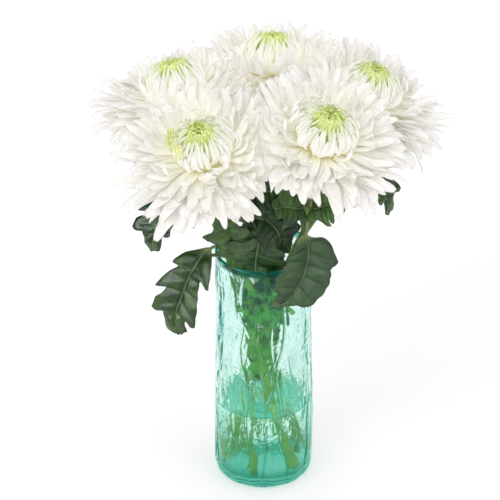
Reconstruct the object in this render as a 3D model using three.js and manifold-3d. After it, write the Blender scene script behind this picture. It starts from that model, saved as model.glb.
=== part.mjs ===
// Chrysanthemums in a jar: five large white chrysanthemum heads on leafy stems,
// standing in water in a tall jar of green glass pressed with a bark relief.
//
// Units are millimetres and +Z is up. The origin is the centre of the jar's flat
// foot, on the surface that the jar stands on. The front of the bunch faces -Y.
import * as THREE from "three";
import { mergeVertices } from "three/addons/utils/BufferGeometryUtils.js";
import Module from "manifold-3d";

const wasm = await Module();
wasm.setup();

// Driving dimensions of the jar and its water
const JAR_HEIGHT = 250;
const JAR_RADIUS = 47.5;
const JAR_WALL = 3.4;
const JAR_FLOOR = 12;
const WATER_LEVEL = 84;
const JAR_SIDES = 48;
const INNER_SIDES = 24;
const BARK_RIDGES = 12;
const BARK_DEPTH = 0.9;

// Driving dimensions of the plants
const STEM_RADIUS = 3.6;
const STEM_SIDES = 7;
const BLOOM_PETALS = 52;
const CENTRE_FLORETS = 15;
const LEAF_THICKNESS = 0.8;
const SEAT_GAP = 0.3;
const GOLDEN_ANGLE = Math.PI * (3 - Math.sqrt(5));

// Each plant: where its head sits, which way the head faces, how far it is tilted
// off the vertical, and its leaves. A leaf leaves the stem at a height, passes
// through some points, and turns its upper side one way. Its lobes run from 0, a
// plain oval, to 1, fully cut, and its trough is how far its edges stand up.
const PLANTS = [
  {
    name: "front_left",
    seat: [-52, -57, 374],
    faces: -112,
    tilt: 26,
    hang: 5,
    leaves: [
      // the leaf that stands up behind the front of the rim
      {
        height: 192,
        through: [[-7, -28, 222], [-7, -33.4, 250], [-5, -44, 274], [-1, -52, 298]],
        upper: [0, -0.85, 0.5],
        width: 58,
        stalk: 0.5,
        lobes: 0.5,
      },
      // the leaf beside it, under the left head
      {
        height: 244,
        through: [[-24, -35, 258], [-30, -45, 280], [-38, -51, 312]],
        upper: [-0.3, -0.9, 0.4],
        width: 46,
        lobes: 0.6,
      },
      // the dark leaf that arches over in the middle, under the heads
      {
        height: 296,
        through: [[-20, -42, 306], [-8, -43, 309], [5, -46, 304], [14, -47, 290], [14, -46, 270]],
        upper: [0.1, -0.86, 0.5],
        width: 42,
        lobes: 0.7,
      },
      // the leaf folded down inside the jar
      {
        height: 240,
        through: [[-19, -24, 234], [-16, -26, 216], [-16, -26, 192], [-17, -24, 168]],
        upper: [-0.3, -0.95, 0.1],
        width: 25,
      },
    ],
  },
  {
    name: "front_right",
    seat: [50, -57, 389],
    faces: -66,
    tilt: 26,
    leaves: [
      // the broad leaf that hangs in front of the jar
      {
        height: 296,
        through: [[38, -50, 290], [41, -55, 282], [40, -59, 270], [35, -63, 252], [22, -65, 234], [6, -63, 222]],
        upper: [0.25, -0.85, 0.45],
        width: 50,
        stalk: 0.08,
        lobes: 0.25,
        trough: 0.35,
      },
      // two leaves close under the head
      {
        height: 316,
        through: [[48, -58, 326], [60, -62, 332], [74, -62, 326]],
        upper: [0, -0.75, 0.65],
        width: 38,
      },
      {
        height: 318,
        through: [[30, -58, 326], [20, -62, 330], [8, -60, 326]],
        upper: [0, -0.85, 0.5],
        width: 42,
      },
    ],
  },
  {
    name: "back_right",
    seat: [90, 33, 380],
    faces: -15,
    tilt: 18,
    leaves: [
      {
        height: 318,
        through: [[92, 10, 330], [106, -2, 326], [114, -10, 310], [117, -14, 294]],
        upper: [0.6, -0.3, 0.75],
        width: 40,
      },
      {
        height: 284,
        through: [[64, 40, 292], [76, 62, 290], [84, 80, 272]],
        upper: [0.4, 0.3, 0.85],
        width: 46,
      },
    ],
  },
  {
    name: "back_middle",
    seat: [8, 87, 382],
    faces: 86,
    tilt: 8,
    leaves: [
      {
        height: 304,
        through: [[-14, 82, 312], [-30, 98, 306], [-40, 108, 286]],
        upper: [-0.2, 0.5, 0.85],
        width: 48,
      },
      {
        height: 276,
        through: [[16, 66, 284], [34, 86, 282], [44, 100, 264]],
        upper: [0.3, 0.5, 0.8],
        width: 46,
      },
    ],
  },
  {
    name: "back_left",
    seat: [-78, 26, 385],
    faces: 152,
    tilt: 13,
    leaves: [
      // the leaf that hangs over the left of the rim
      {
        height: 238,
        through: [[-46, -9, 257], [-58, -17, 251], [-69, -23, 236], [-79, -26, 209], [-85, -25, 186], [-80, -23, 168]],
        leaves_upper: [0, 0.1, 1],
        upper: [-0.35, -0.8, 0.5],
        width: 50,
        stalk: 0.24,
      },
      // the leaf whose tips show under the left head
      {
        height: 304,
        through: [[-78, 4, 306], [-92, -12, 298], [-102, -24, 284], [-106, -30, 264]],
        upper: [-0.5, -0.5, 0.7],
        width: 48,
      },
      {
        height: 322,
        through: [[-82, 50, 328], [-94, 66, 318], [-100, 76, 298]],
        upper: [-0.5, 0.4, 0.75],
        width: 44,
      },
    ],
  },
];

const degrees = Math.PI / 180;
const vec = (x, y, z) => new THREE.Vector3(x, y, z);

// A repeatable stream of numbers from 0 to 1.
function seeded(seed) {
  let state = seed >>> 0;
  return () => {
    state = (state + 0x6d2b79f5) >>> 0;
    let mixed = Math.imul(state ^ (state >>> 15), state | 1);
    mixed ^= mixed + Math.imul(mixed ^ (mixed >>> 7), mixed | 61);
    return ((mixed ^ (mixed >>> 14)) >>> 0) / 4294967296;
  };
}

// The value at x of a line drawn through points of [x, value].
function along(points, x) {
  let low = points[0];
  for (const high of points) {
    if (x <= high[0]) {
      const share = high[0] > low[0] ? (x - low[0]) / (high[0] - low[0]) : 0;
      return low[1] + (high[1] - low[1]) * share;
    }
    low = high;
  }
  return low[1];
}

// A geometry as a solid that can be joined and cut.
function solidOf(geometry) {
  const bare = geometry.index ? geometry.toNonIndexed() : geometry.clone();
  bare.deleteAttribute("normal");
  bare.deleteAttribute("uv");
  const merged = mergeVertices(bare, 1e-4);
  const corners = merged.index.array;
  const kept = [];
  for (let i = 0; i < corners.length; i += 3) {
    const [a, b, c] = [corners[i], corners[i + 1], corners[i + 2]];
    if (a !== b && b !== c && c !== a) kept.push(a, b, c);
  }
  return new wasm.Manifold(
    new wasm.Mesh({
      numProp: 3,
      vertProperties: merged.attributes.position.array,
      triVerts: new Uint32Array(kept),
    }),
  );
}

// The largest body of a solid, as a named mesh.
function meshOf(name, solid, material) {
  const body = solid
    .decompose()
    .reduce((a, b) => (a.volume() > b.volume() ? a : b));
  const { vertProperties, triVerts } = body.getMesh();
  const geometry = new THREE.BufferGeometry();
  geometry.setAttribute(
    "position",
    new THREE.BufferAttribute(new Float32Array(vertProperties), 3),
  );
  geometry.setIndex(new THREE.BufferAttribute(new Uint32Array(triVerts), 1));
  geometry.computeVertexNormals();
  const mesh = new THREE.Mesh(geometry, material);
  mesh.name = name;
  return mesh;
}

// A closed skin over rings of points. A ring of one point is a tip. A side named
// in `crossed` is split along its other diagonal, so that the two faces of a thin
// blade are split alike.
function loft(rings, crossed = []) {
  const points = rings.flat();
  const first = [];
  let count = 0;
  for (const ring of rings) {
    first.push(count);
    count += ring.length;
  }
  const faces = [];
  const sides = Math.max(...rings.map((ring) => ring.length));
  for (let k = 0; k + 1 < rings.length; k += 1) {
    for (let i = 0; i < sides; i += 1) {
      const next = (i + 1) % sides;
      const a = first[k] + (rings[k].length > 1 ? i : 0);
      const b = first[k] + (rings[k].length > 1 ? next : 0);
      const c = first[k + 1] + (rings[k + 1].length > 1 ? next : 0);
      const d = first[k + 1] + (rings[k + 1].length > 1 ? i : 0);
      if (crossed.includes(i)) faces.push([a, b, d], [b, c, d]);
      else faces.push([a, b, c], [a, c, d]);
    }
  }
  const last = first[rings.length - 1];
  for (let i = 1; i + 1 < sides; i += 1) {
    if (rings[0].length > 1) faces.push([0, i + 1, i]);
    if (rings.at(-1).length > 1) faces.push([last, last + i, last + i + 1]);
  }
  const whole = faces.filter(([a, b, c]) => a !== b && b !== c && c !== a);
  const geometry = new THREE.BufferGeometry();
  geometry.setAttribute(
    "position",
    new THREE.Float32BufferAttribute(points.flatMap((p) => p.toArray()), 3),
  );
  geometry.setIndex(whole.flat());
  let solid = solidOf(geometry);
  if (solid.volume() < 0) {
    geometry.setIndex(whole.map(([a, b, c]) => [a, c, b]).flat());
    solid = solidOf(geometry);
  }
  return solid;
}

// A solid turned about the vertical axis from a profile of [radius, height].
function turned(profile, sides, shape = (point) => point) {
  const outline = profile.map(([radius, height]) => new THREE.Vector2(radius, height));
  const geometry = new THREE.LatheGeometry(outline, sides);
  geometry.rotateX(Math.PI / 2);
  geometry.scale(1, -1, 1);
  const position = geometry.getAttribute("position");
  const point = vec(0, 0, 0);
  for (let i = 0; i < position.count; i += 1) {
    point.fromBufferAttribute(position, i);
    shape(point);
    position.setXYZ(i, point.x, point.y, point.z);
  }
  const solid = solidOf(geometry);
  if (solid.volume() > 0) return solid;
  const corners = geometry.index.array;
  for (let i = 0; i < corners.length; i += 3) {
    [corners[i + 1], corners[i + 2]] = [corners[i + 2], corners[i + 1]];
  }
  return solidOf(geometry);
}

// The jar

// How far the glass wall stands from the axis outside, before its bark relief.
const wallRadius = (height) =>
  along(
    [
      [0, JAR_RADIUS - 9],
      [2.5, JAR_RADIUS - 4.6],
      [7, JAR_RADIUS - 1.6],
      [16, JAR_RADIUS],
      [70, JAR_RADIUS],
      [180, JAR_RADIUS - 2],
      [JAR_HEIGHT - 14, JAR_RADIUS - 1.6],
      [JAR_HEIGHT, JAR_RADIUS - 0.4],
    ],
    height,
  );

const innerRadius = (height) => wallRadius(Math.max(height, 26)) - JAR_WALL;

// The bark relief: upright ridges that wander and fade out at the lip and the foot.
function barkRelief(angle, height) {
  const wander = 0.9 * Math.sin(height / 31 + 2 * angle) + 0.6 * Math.sin(height / 13 + 5 * angle);
  const ridge = Math.cos(BARK_RIDGES * angle + wander);
  const fade = along([[0, 0], [10, 1], [JAR_HEIGHT - 24, 1], [JAR_HEIGHT - 6, 0]], height);
  return BARK_DEPTH * ridge * fade;
}

function makeJar() {
  const levels = [2.5, 7, 16, 38, 64, 90, 116, 142, 168, 194, 220, 239];
  const wall = levels.map((height) => [wallRadius(height), height]);
  const lip = [
    [JAR_RADIUS - 0.4, JAR_HEIGHT - 3],
    [JAR_RADIUS - 1.4, JAR_HEIGHT - 0.3],
    [JAR_RADIUS - 2.4, JAR_HEIGHT],
    [0, JAR_HEIGHT],
  ];
  const foot = [
    [0, 0],
    [wallRadius(0), 0],
  ];
  const outside = turned([...foot, ...wall, ...lip], JAR_SIDES, (point) => {
    const radius = Math.hypot(point.x, point.y);
    if (radius < JAR_RADIUS - 9.5) return;
    const scale = 1 + barkRelief(Math.atan2(point.y, point.x), point.z) / radius;
    point.x *= scale;
    point.y *= scale;
  });
  return outside.subtract(turned(insideProfile(0, JAR_HEIGHT), INNER_SIDES));
}

// The outline of the room inside the jar, less a gap, up to a level.
function insideProfile(gap, top) {
  const levels = [JAR_FLOOR + 4, 26, 70, 180].filter((height) => height < top);
  return [
    [0, JAR_FLOOR + gap],
    [innerRadius(0) - 5 - gap, JAR_FLOOR + gap],
    ...levels.map((height) => [innerRadius(height) - gap, height + gap]),
    [innerRadius(top) - gap, top],
    [0, top],
  ];
}

// The water fills the jar up to its level, with a plain hole for each stem.
function makeWater(stems) {
  const holes = stems.map(({ path }) => stemHole(path));
  const body = turned(insideProfile(SEAT_GAP + 0.1, WATER_LEVEL), INNER_SIDES);
  return body.subtract(wasm.Manifold.union(holes));
}

// The stems

const headingOf = (plant) => Math.atan2(plant.seat[1], plant.seat[0]);

// The way a head faces, as a unit vector.
function axisOf(plant) {
  const [tilt, faces] = [plant.tilt * degrees, plant.faces * degrees];
  return vec(
    Math.sin(tilt) * Math.cos(faces),
    Math.sin(tilt) * Math.sin(faces),
    Math.cos(tilt),
  );
}

// How far from the jar's axis a stem passes the rim that it leans on at a slant.
const SLANT_ALLOWANCE = 1;
const RIM_LEAN =
  innerRadius(JAR_HEIGHT) * Math.cos(Math.PI / INNER_SIDES) -
  STEM_RADIUS -
  SEAT_GAP -
  SLANT_ALLOWANCE;

// A stem's centre line: it stands on the jar's floor, passes the others in a
// spiral, leans on the rim and turns up into its head.
function stemPath(plant) {
  const heading = headingOf(plant);
  const seat = vec(...plant.seat);
  const axis = axisOf(plant);
  const reach = Math.hypot(plant.seat[0], plant.seat[1]);
  const around = (radius, turn, height) =>
    vec(
      radius * Math.cos(heading + turn * degrees),
      radius * Math.sin(heading + turn * degrees),
      height,
    );
  return new THREE.CatmullRomCurve3(
    [
      around(30, 168, JAR_FLOOR + SEAT_GAP),
      around(17, 140, 70),
      around(11.5, 92, 130),
      around(20, 34, 190),
      around(RIM_LEAN, 7, JAR_HEIGHT - 2),
      around(reach * 0.74, 2, 300),
      seat.clone().addScaledVector(axis, -34),
      seat.clone().addScaledVector(axis, -12),
    ],
    false,
    "centripetal",
  );
}

// The tangent of a stem and two directions square to it.
function frameOn(path, share) {
  const tangent = path.getTangentAt(share);
  const side = vec(0, 1, 0).cross(tangent).normalize();
  return { point: path.getPointAt(share), side, front: tangent.clone().cross(side) };
}

// The share of a path's length at which it reaches a height.
function shareAtHeight(path, height) {
  let [low, high] = [0, 1];
  for (let i = 0; i < 30; i += 1) {
    const middle = (low + high) / 2;
    if (path.getPointAt(middle).z < height) low = middle;
    else high = middle;
  }
  return low;
}

function ringAround({ point, side, front }, radius, sides) {
  return Array.from({ length: sides }, (_, i) => {
    const turn = (2 * Math.PI * i) / sides;
    return point
      .clone()
      .addScaledVector(side, radius * Math.cos(turn))
      .addScaledVector(front, radius * Math.sin(turn));
  });
}

const stemRadius = (share) => STEM_RADIUS * (1.06 - 0.16 * share);

// The hole that a stem stands in, a little wider than the stem, from below the
// water to above it.
function stemHole(path) {
  const steps = 5;
  const top = shareAtHeight(path, WATER_LEVEL + 12);
  const rings = [];
  for (let i = 0; i <= steps; i += 1) {
    const share = (top * i) / steps;
    const frame = frameOn(path, share);
    if (i === 0) frame.point.addScaledVector(path.getTangentAt(0), -6);
    rings.push(ringAround(frame, stemRadius(share) + SEAT_GAP + 0.3, 8));
  }
  return loft(rings);
}

// The green cup under a head, drawn in the head's own frame.
const CUP = [
  [-12, 0.92 * STEM_RADIUS],
  [-8, 5],
  [-4, 8.2],
  [-SEAT_GAP, 9],
];

function stemBody(plant, path) {
  const steps = 20;
  const rings = [];
  for (let i = 0; i < steps; i += 1) {
    const share = i / steps;
    rings.push(ringAround(frameOn(path, share), stemRadius(share), STEM_SIDES));
  }
  rings[0].forEach((point) => {
    point.z = JAR_FLOOR + SEAT_GAP;
  });
  const axis = axisOf(plant);
  const side = vec(0, 1, 0).cross(axis).normalize();
  const front = axis.clone().cross(side);
  for (const [height, radius] of CUP) {
    const point = vec(...plant.seat).addScaledVector(axis, height);
    rings.push(ringAround({ point, side, front }, radius, STEM_SIDES));
  }
  return loft(rings);
}

// The leaves

// The two edges of a leaf's blade, from its stalk to its tip: how far along the
// blade's midrib, how far out as a share of the width, and how far that point of the
// edge lies ahead of its place on the midrib. The side lobes alternate and point
// forward, then comes an end lobe.
const LEAF_LEFT = [
  [0, 0.04, 0],
  [0.11, 0.25, 0.03],
  [0.2, 0.37, 0.06],
  [0.3, 0.26, -0.01],
  [0.44, 0.56, 0.13],
  [0.51, 0.28, -0.02],
  [0.66, 0.46, 0.13],
  [0.78, 0.21, 0.045],
  [0.9, 0.15, 0.055],
  [1, 0.012, 0],
];
const LEAF_RIGHT = [
  [0, 0.04, 0],
  [0.11, 0.37, 0],
  [0.2, 0.62, 0.11],
  [0.3, 0.25, 0],
  [0.44, 0.31, 0.02],
  [0.51, 0.4, 0.04],
  [0.66, 0.51, 0.12],
  [0.78, 0.2, 0.04],
  [0.9, 0.18, 0.08],
  [1, 0.012, 0],
];

// The edge of a leaf with no lobes, as [along the midrib, share of the width].
const LEAF_WHOLE = [[0, 0.04], [0.08, 0.26], [0.2, 0.42], [0.4, 0.5], [0.6, 0.47], [0.78, 0.34], [0.92, 0.14], [1, 0.012]];
const LEAF_LOBES = 0.85;
const STALK_SHARE = 0.18;
const STALK_THICKNESS = 2.6;
const LEAF_TROUGH = 0.2;

function leafBody(leaf, path) {
  const start = path.getPointAt(shareAtHeight(path, leaf.height));
  const midrib = new THREE.CatmullRomCurve3(
    [start, ...leaf.through.map((point) => vec(...point))],
    false,
    "centripetal",
  );
  const length = midrib.getLength();
  const first = vec(...(leaf.leaves_upper ?? leaf.upper)).normalize();
  const last = vec(...leaf.upper).normalize();
  const stalk = leaf.stalk ?? STALK_SHARE;
  const lobes = leaf.lobes ?? LEAF_LOBES;
  const trough = leaf.trough ?? LEAF_TROUGH;
  const softened = ([at, out, ahead]) => ({
    out: out * lobes + along(LEAF_WHOLE, at) * (1 - lobes),
    ahead: at > 0 && at < 1 ? ahead * (0.4 + 0.6 * lobes) + 0.03 * (1 - lobes) : 0,
  });
  const blade = LEAF_LEFT.map((point, i) => ({
    share: stalk + (1 - stalk) * point[0],
    left: softened(point),
    right: softened(LEAF_RIGHT[i]),
  }));
  const bare = { out: 0.03, ahead: 0 };
  const stalkRings = stalk > STALK_SHARE ? [0, 0.35 * stalk, 0.7 * stalk] : [0];
  const edges = [...stalkRings.map((share) => ({ share, left: bare, right: bare })), ...blade];
  const rings = edges.map(({ share, left: plus, right: minus }) => {
    const tangent = midrib.getTangentAt(share);
    const upper = first.clone().lerp(last, Math.min(1, share * 1.6));
    const side = tangent.clone().cross(upper).normalize();
    const up = side.clone().cross(tangent);
    const centre = midrib.getPointAt(share);
    const edge = ({ out, ahead }, sign) =>
      centre
        .clone()
        .addScaledVector(side, sign * out * leaf.width)
        .addScaledVector(tangent, ahead * length * (1 - stalk))
        .addScaledVector(up, trough * out * leaf.width);
    const thick = share <= stalk ? STALK_THICKNESS : LEAF_THICKNESS;
    const lift = (point, amount) => point.clone().addScaledVector(up, amount);
    const [left, right] = [edge(minus, -1), edge(plus, 1)];
    return [
      lift(left, thick / 2),
      lift(centre, thick / 2),
      lift(right, thick / 2),
      lift(right, -thick / 2),
      lift(centre, -thick / 2),
      lift(left, -thick / 2),
    ];
  });
  return loft(rings, [3, 4]);
}

function makeStem(plant) {
  const path = stemPath(plant);
  const leaves = plant.leaves.map((leaf) => leafBody(leaf, path));
  return { path, solid: wasm.Manifold.union([stemBody(plant, path), ...leaves]) };
}

// The heads

// A petal's place in its head runs from 0, the lowest and outermost, to 1, the
// innermost. Its midline leaves a root, heads for a bend and ends at a tip, each
// given as [place, distance from the head's axis, height above the head's seat].
const PETAL_ROOT = [[0, 12, 3], [0.35, 15, 7], [0.6, 17, 12], [0.71, 17, 15], [0.72, 13, 13], [0.86, 14, 19], [1, 12, 27]];
const PETAL_BEND = [[0, 48, 6], [0.14, 52, 6], [0.35, 51, 14], [0.55, 46, 24], [0.71, 41, 28], [0.72, 41, 22], [0.86, 37, 30], [1, 25, 40]];
const PETAL_TIP = [[0, 54, -22], [0.14, 69, -10], [0.35, 75, 8], [0.5, 67, 23], [0.6, 56, 33], [0.71, 34, 46], [0.72, 22, 45], [0.86, 16, 47], [1, 13, 48]];
const PETAL_WIDTH = [[0, 14], [0.35, 14.5], [0.6, 13], [0.8, 10.5], [1, 8]];
const PETAL_SHAPE = [[0, 0.55], [0.4, 0.95], [0.78, 1]];
const BALL_PETAL_SHAPE = [[0, 0.8], [0.62, 1]];
const BALL_STARTS = 0.72;
const PETAL_KEEL = 1.6;

// Petals on the free side of the bunch reach further out by this share, and those
// on the low side of a tilted head hang by up to this many millimetres. A plant's
// own hang is for its lowest petals.
const FREE_REACH = 0.1;
const DROOP = 15;
const STEEPEST_TILT = 26;

// The heart of a head, which the petals stand out of, and the room left in it for
// the green centre.
const HEART = [[0, 0], [9, 0], [19, 4], [24, 12], [24, 22], [19, 29], [0, 30]];
const CENTRE_ROOM = [[0, 28.6], [12.6, 28.6], [15, 33], [15, 42], [10, 48], [0, 50]];

// The value at x of a line drawn through points of [x, radius, height].
const placeOn = (points, x) => [
  along(points.map(([at, radius]) => [at, radius]), x),
  along(points.map(([at, , height]) => [at, height]), x),
];

// A petal's rings of points in its head's frame. `free` and `low` run from 0 to 1
// with how much the petal points away from the bunch, and down.
function petalRings(place, turn, free, low, hang, random) {
  const outward = vec(Math.cos(turn), Math.sin(turn), 0);
  const across = vec(-Math.sin(turn), Math.cos(turn), 0);
  const point = ([radius, height], longer = 1) =>
    outward.clone().multiplyScalar(radius * longer).setZ(height);
  const longer = 0.96 + 0.1 * random() + FREE_REACH * free;
  const sunk = DROOP * along([[0.3, 0], [0.6, 1]], place) + hang * along([[0.1, 1], [0.5, 0]], place);
  const droop = place < BALL_STARTS ? low * sunk : 0;
  const tip = point(placeOn(PETAL_TIP, place), place < BALL_STARTS ? longer : 1);
  tip.addScaledVector(outward, 0.5 * droop);
  tip.z += 5 * (random() - 0.5) - droop;
  const bend = point(placeOn(PETAL_BEND, place)).addScaledVector(outward, 0.2 * droop);
  bend.z -= 0.5 * droop;
  const midline = new THREE.QuadraticBezierCurve3(point(placeOn(PETAL_ROOT, place)), bend, tip);
  const width = along(PETAL_WIDTH, place) * (0.92 + 0.16 * random());
  const shape = place < BALL_STARTS ? PETAL_SHAPE : BALL_PETAL_SHAPE;
  const rings = shape.map(([share, wide]) => {
    const above = midline.getTangent(share).cross(across).negate();
    const centre = midline.getPoint(share);
    const half = (width * wide) / 2;
    return [
      centre.clone().addScaledVector(across, half).addScaledVector(above, 0.4),
      centre.clone().addScaledVector(across, -half).addScaledVector(above, 0.4),
      centre.clone().addScaledVector(above, 0.4 - PETAL_KEEL),
    ];
  });
  rings.push([tip]);
  return rings;
}

// Heads that press against each other: near the plane between two heads, petals
// are pressed back into their own side of it and pushed up.
const PRESS_DEPTH = 20;
const PRESS_LIFT = 0.45;
const HEAD_MIDDLE = 14;

const middleOf = (plant) => vec(...plant.seat).addScaledVector(axisOf(plant), HEAD_MIDDLE);

function pressBack(point, plant) {
  const own = middleOf(plant);
  for (const other of PLANTS) {
    if (other === plant) continue;
    const apart = own.clone().sub(middleOf(other));
    const halfway = apart.length() / 2;
    apart.normalize();
    const depth = point.clone().sub(middleOf(other)).dot(apart) - halfway;
    if (depth >= PRESS_DEPTH) continue;
    const least = SEAT_GAP;
    const span = PRESS_DEPTH - least;
    const pressed = least + span * Math.exp((depth - PRESS_DEPTH) / span);
    point.addScaledVector(apart, pressed - depth);
    point.z += PRESS_LIFT * (pressed - depth);
  }
  return point;
}

// Moves a point from a head's own frame to where the head sits.
function headPlacer(plant) {
  const turn = new THREE.Quaternion().setFromUnitVectors(vec(0, 0, 1), axisOf(plant));
  const seat = vec(...plant.seat);
  return (point) => point.clone().applyQuaternion(turn).add(seat);
}

function makeBloom(plant, index) {
  const random = seeded(101 + index);
  const place = headPlacer(plant);
  const settle = (point) => point.copy(place(point));
  const petals = [];
  const away = vec(plant.seat[0], plant.seat[1], 0).normalize();
  const steepest = Math.sin(STEEPEST_TILT * degrees);
  for (let i = 0; i < BLOOM_PETALS; i += 1) {
    const turn = i * GOLDEN_ANGLE + index;
    const leaning = place(vec(Math.cos(turn), Math.sin(turn), 0)).sub(place(vec(0, 0, 0)));
    const free = Math.max(leaning.dot(away), 0);
    const low = Math.max(-leaning.z, 0) / steepest;
    const rings = petalRings(i / (BLOOM_PETALS - 1), turn, free, low, plant.hang ?? 0, random);
    petals.push(loft(rings.map((ring) => ring.map((p) => pressBack(place(p), plant)))));
  }
  const heart = turned(HEART, 10, settle);
  const room = turned(CENTRE_ROOM, 10, settle);
  return wasm.Manifold.union([heart, ...petals]).subtract(room);
}

// The green centre: short florets that curl in over a small dome.
const CENTRE_DOME = [[0, 28.9], [9, 28.9], [11, 33], [9, 38], [4.5, 41], [0, 42]];

function makeCentre(plant, index) {
  const random = seeded(201 + index);
  const place = headPlacer(plant);
  const parts = [turned(CENTRE_DOME, 8, (point) => point.copy(place(point)))];
  for (let i = 0; i < CENTRE_FLORETS; i += 1) {
    const share = Math.sqrt((i + 0.5) / CENTRE_FLORETS);
    const turn = i * GOLDEN_ANGLE + index;
    const outward = vec(Math.cos(turn), Math.sin(turn), 0);
    const across = vec(-Math.sin(turn), Math.cos(turn), 0);
    const foot = outward.clone().multiplyScalar(10 * share).setZ(along([[0, 39], [0.6, 37], [1, 31]], share));
    const bend = outward.clone().multiplyScalar(2 + 11.4 * share).setZ(foot.z + 6);
    const tip = outward.clone().multiplyScalar(1 + 8 * share).setZ(foot.z + 9.5 + 1.5 * random());
    const ring = (middle, half) => [
      middle.clone().addScaledVector(across, half),
      middle.clone().addScaledVector(across, -half),
      middle.clone().addScaledVector(outward, 1.2 * half),
    ];
    const rings = [ring(foot, 1.3), ring(bend, 1.6), [tip]];
    parts.push(loft(rings.map((points) => points.map(place))));
  }
  return wasm.Manifold.union(parts);
}

// Materials

const surface = (color, roughness, more = {}) =>
  new THREE.MeshStandardMaterial({ color, roughness, metalness: 0, ...more });

const glass = surface(0x9fdccb, 0.05, { transparent: true, opacity: 0.4 });
const water = surface(0xc4ece0, 0.05, { transparent: true, opacity: 0.4 });
const foliage = surface(0x2c4a2a, 0.5);
const petal = surface(0xf6f3e8, 0.7);
const floret = surface(0xa9c93f, 0.6);

// The bunch

const bunch = new THREE.Group();
bunch.name = "chrysanthemums_in_a_jar";
const stems = PLANTS.map(makeStem);
bunch.add(meshOf("jar", makeJar(), glass));
bunch.add(meshOf("water", makeWater(stems), water));
PLANTS.forEach((plant, index) => {
  bunch.add(meshOf(`stem_${plant.name}`, stems[index].solid, foliage));
  bunch.add(meshOf(`bloom_${plant.name}`, makeBloom(plant, index), petal));
  bunch.add(meshOf(`centre_${plant.name}`, makeCentre(plant, index), floret));
});

export default bunch;
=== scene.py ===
# %% [markdown]
# # White chrysanthemums in a glass jar
#
# Five large white chrysanthemum heads stand in a tall jar of aqua glass. The CAD
# model gives each head, stem and the jar its place and main form. This lesson
# grows finer pieces over those forms: hundreds of curved petals, veined leaves,
# ribbed stems, thick pressed glass and still water.
#
# Each step says what the real thing is like, how it could be made in Blender, and
# why one way was chosen.

# %% Tools and the CAD frame
import math

import bpy
import numpy as np
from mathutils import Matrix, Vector


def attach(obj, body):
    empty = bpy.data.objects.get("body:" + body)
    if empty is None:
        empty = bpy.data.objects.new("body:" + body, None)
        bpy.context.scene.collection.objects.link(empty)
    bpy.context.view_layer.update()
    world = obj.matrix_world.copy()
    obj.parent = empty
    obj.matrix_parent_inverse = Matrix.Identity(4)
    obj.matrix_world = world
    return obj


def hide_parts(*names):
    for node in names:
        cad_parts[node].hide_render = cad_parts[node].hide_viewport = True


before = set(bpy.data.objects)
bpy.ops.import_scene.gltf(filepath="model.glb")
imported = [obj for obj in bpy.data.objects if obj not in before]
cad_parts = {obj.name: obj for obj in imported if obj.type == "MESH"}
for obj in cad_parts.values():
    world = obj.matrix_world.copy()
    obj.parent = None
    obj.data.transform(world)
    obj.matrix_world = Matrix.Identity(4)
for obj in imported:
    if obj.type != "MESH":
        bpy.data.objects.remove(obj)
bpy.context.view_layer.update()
print("CAD nodes:", len(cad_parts))

# %% [markdown]
# ## Measurements
#
# The CAD source is in millimetres, and so is every table below. Lengths turn into
# Blender's metres in one place only, where a mesh is made.
#
# The five plants are the same as in the CAD source: where the head sits on its
# stem, which way it faces on the compass, and how far it is tilted from upright.

# %% Jar, water and plants
MM = 0.001
GOLDEN_ANGLE = math.pi * (3 - math.sqrt(5))
UP = np.array([0.0, 0.0, 1.0])

JAR_HEIGHT = 250.0
JAR_RADIUS = 47.5
JAR_WALL = 3.4
JAR_FLOOR = 12.0
WATER_LEVEL = 84.0
STEM_RADIUS = 3.6
SEAT_GAP = 0.3
RIM_LEAN = 38.4

# Some heads give off more or less painted glow ("lit"), or have outer petals that
# hang lower ("hang"), a tuft of florets at one side, or petals "worn" shorter: at
# which bearing, by how much, and how far in.
PLANTS = [
    dict(name="front_left", seat=(-52, -57, 374), faces=-112, tilt=26, hang=5,
         side_tuft=-168, worn=(-86, 0.24, 0.3)),
    dict(name="front_right", seat=(50, -57, 389), faces=-66, tilt=26, hang=-6,
         worn=(-96, 0.26, 0.3)),
    dict(name="back_right", seat=(90, 33, 380), faces=-15, tilt=18, lit=0.9,
         worn=(36, 0.2, 0.75)),
    dict(name="back_middle", seat=(8, 87, 382), faces=86, tilt=8, lit=1.25),
    dict(name="back_left", seat=(-78, 26, 385), faces=152, tilt=13, lit=1.1),
]


def unit(vector):
    """A vector, or many in rows, at length one."""
    vector = np.asarray(vector, dtype=float)
    return vector / np.linalg.norm(vector, axis=-1, keepdims=True)


def spokes(turns):
    """Level vectors at these turns: outward from the axis, and square to that."""
    cosine, sine, level = np.cos(turns), np.sin(turns), 0 * turns
    return np.stack([cosine, sine, level], -1), np.stack([-sine, cosine, level], -1)


def head_placer(plant):
    """A function that moves points from a head's own frame to where it sits."""
    turn = Vector(UP).rotation_difference(Vector(plant["axis"]))
    matrix = np.array(turn.to_matrix())
    return lambda points: points @ matrix.T + plant["seat"]


def add_object(name, data):
    """A new object in the scene that shows a mesh, a lamp or a camera."""
    thing = bpy.data.objects.new(name, data)
    bpy.context.scene.collection.objects.link(thing)
    return thing


def facing(direction):
    """The turn that makes a lamp or a camera look in a direction."""
    return direction.to_track_quat("-Z", "Y").to_euler()


for plant in PLANTS:
    tilt, faces = math.radians(plant["tilt"]), math.radians(plant["faces"])
    plant["seat"] = np.array(plant["seat"], dtype=float)
    plant["axis"] = math.sin(tilt) * spokes(faces)[0] + math.cos(tilt) * UP
print("plants:", [plant["name"] for plant in PLANTS])

# %% [markdown]
# ## Lofts
#
# Petals, florets, leaves, stems and the jar are all bodies with one ring of points
# after another. A thin one could be drawn by hand as a curve with a bevel, but a
# bevel has the same section all along. Here each is a loft instead: its rings are
# joined by quads and closed at both ends. One function builds thousands of lofts
# at once from a single array, which keeps the script fast.

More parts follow.
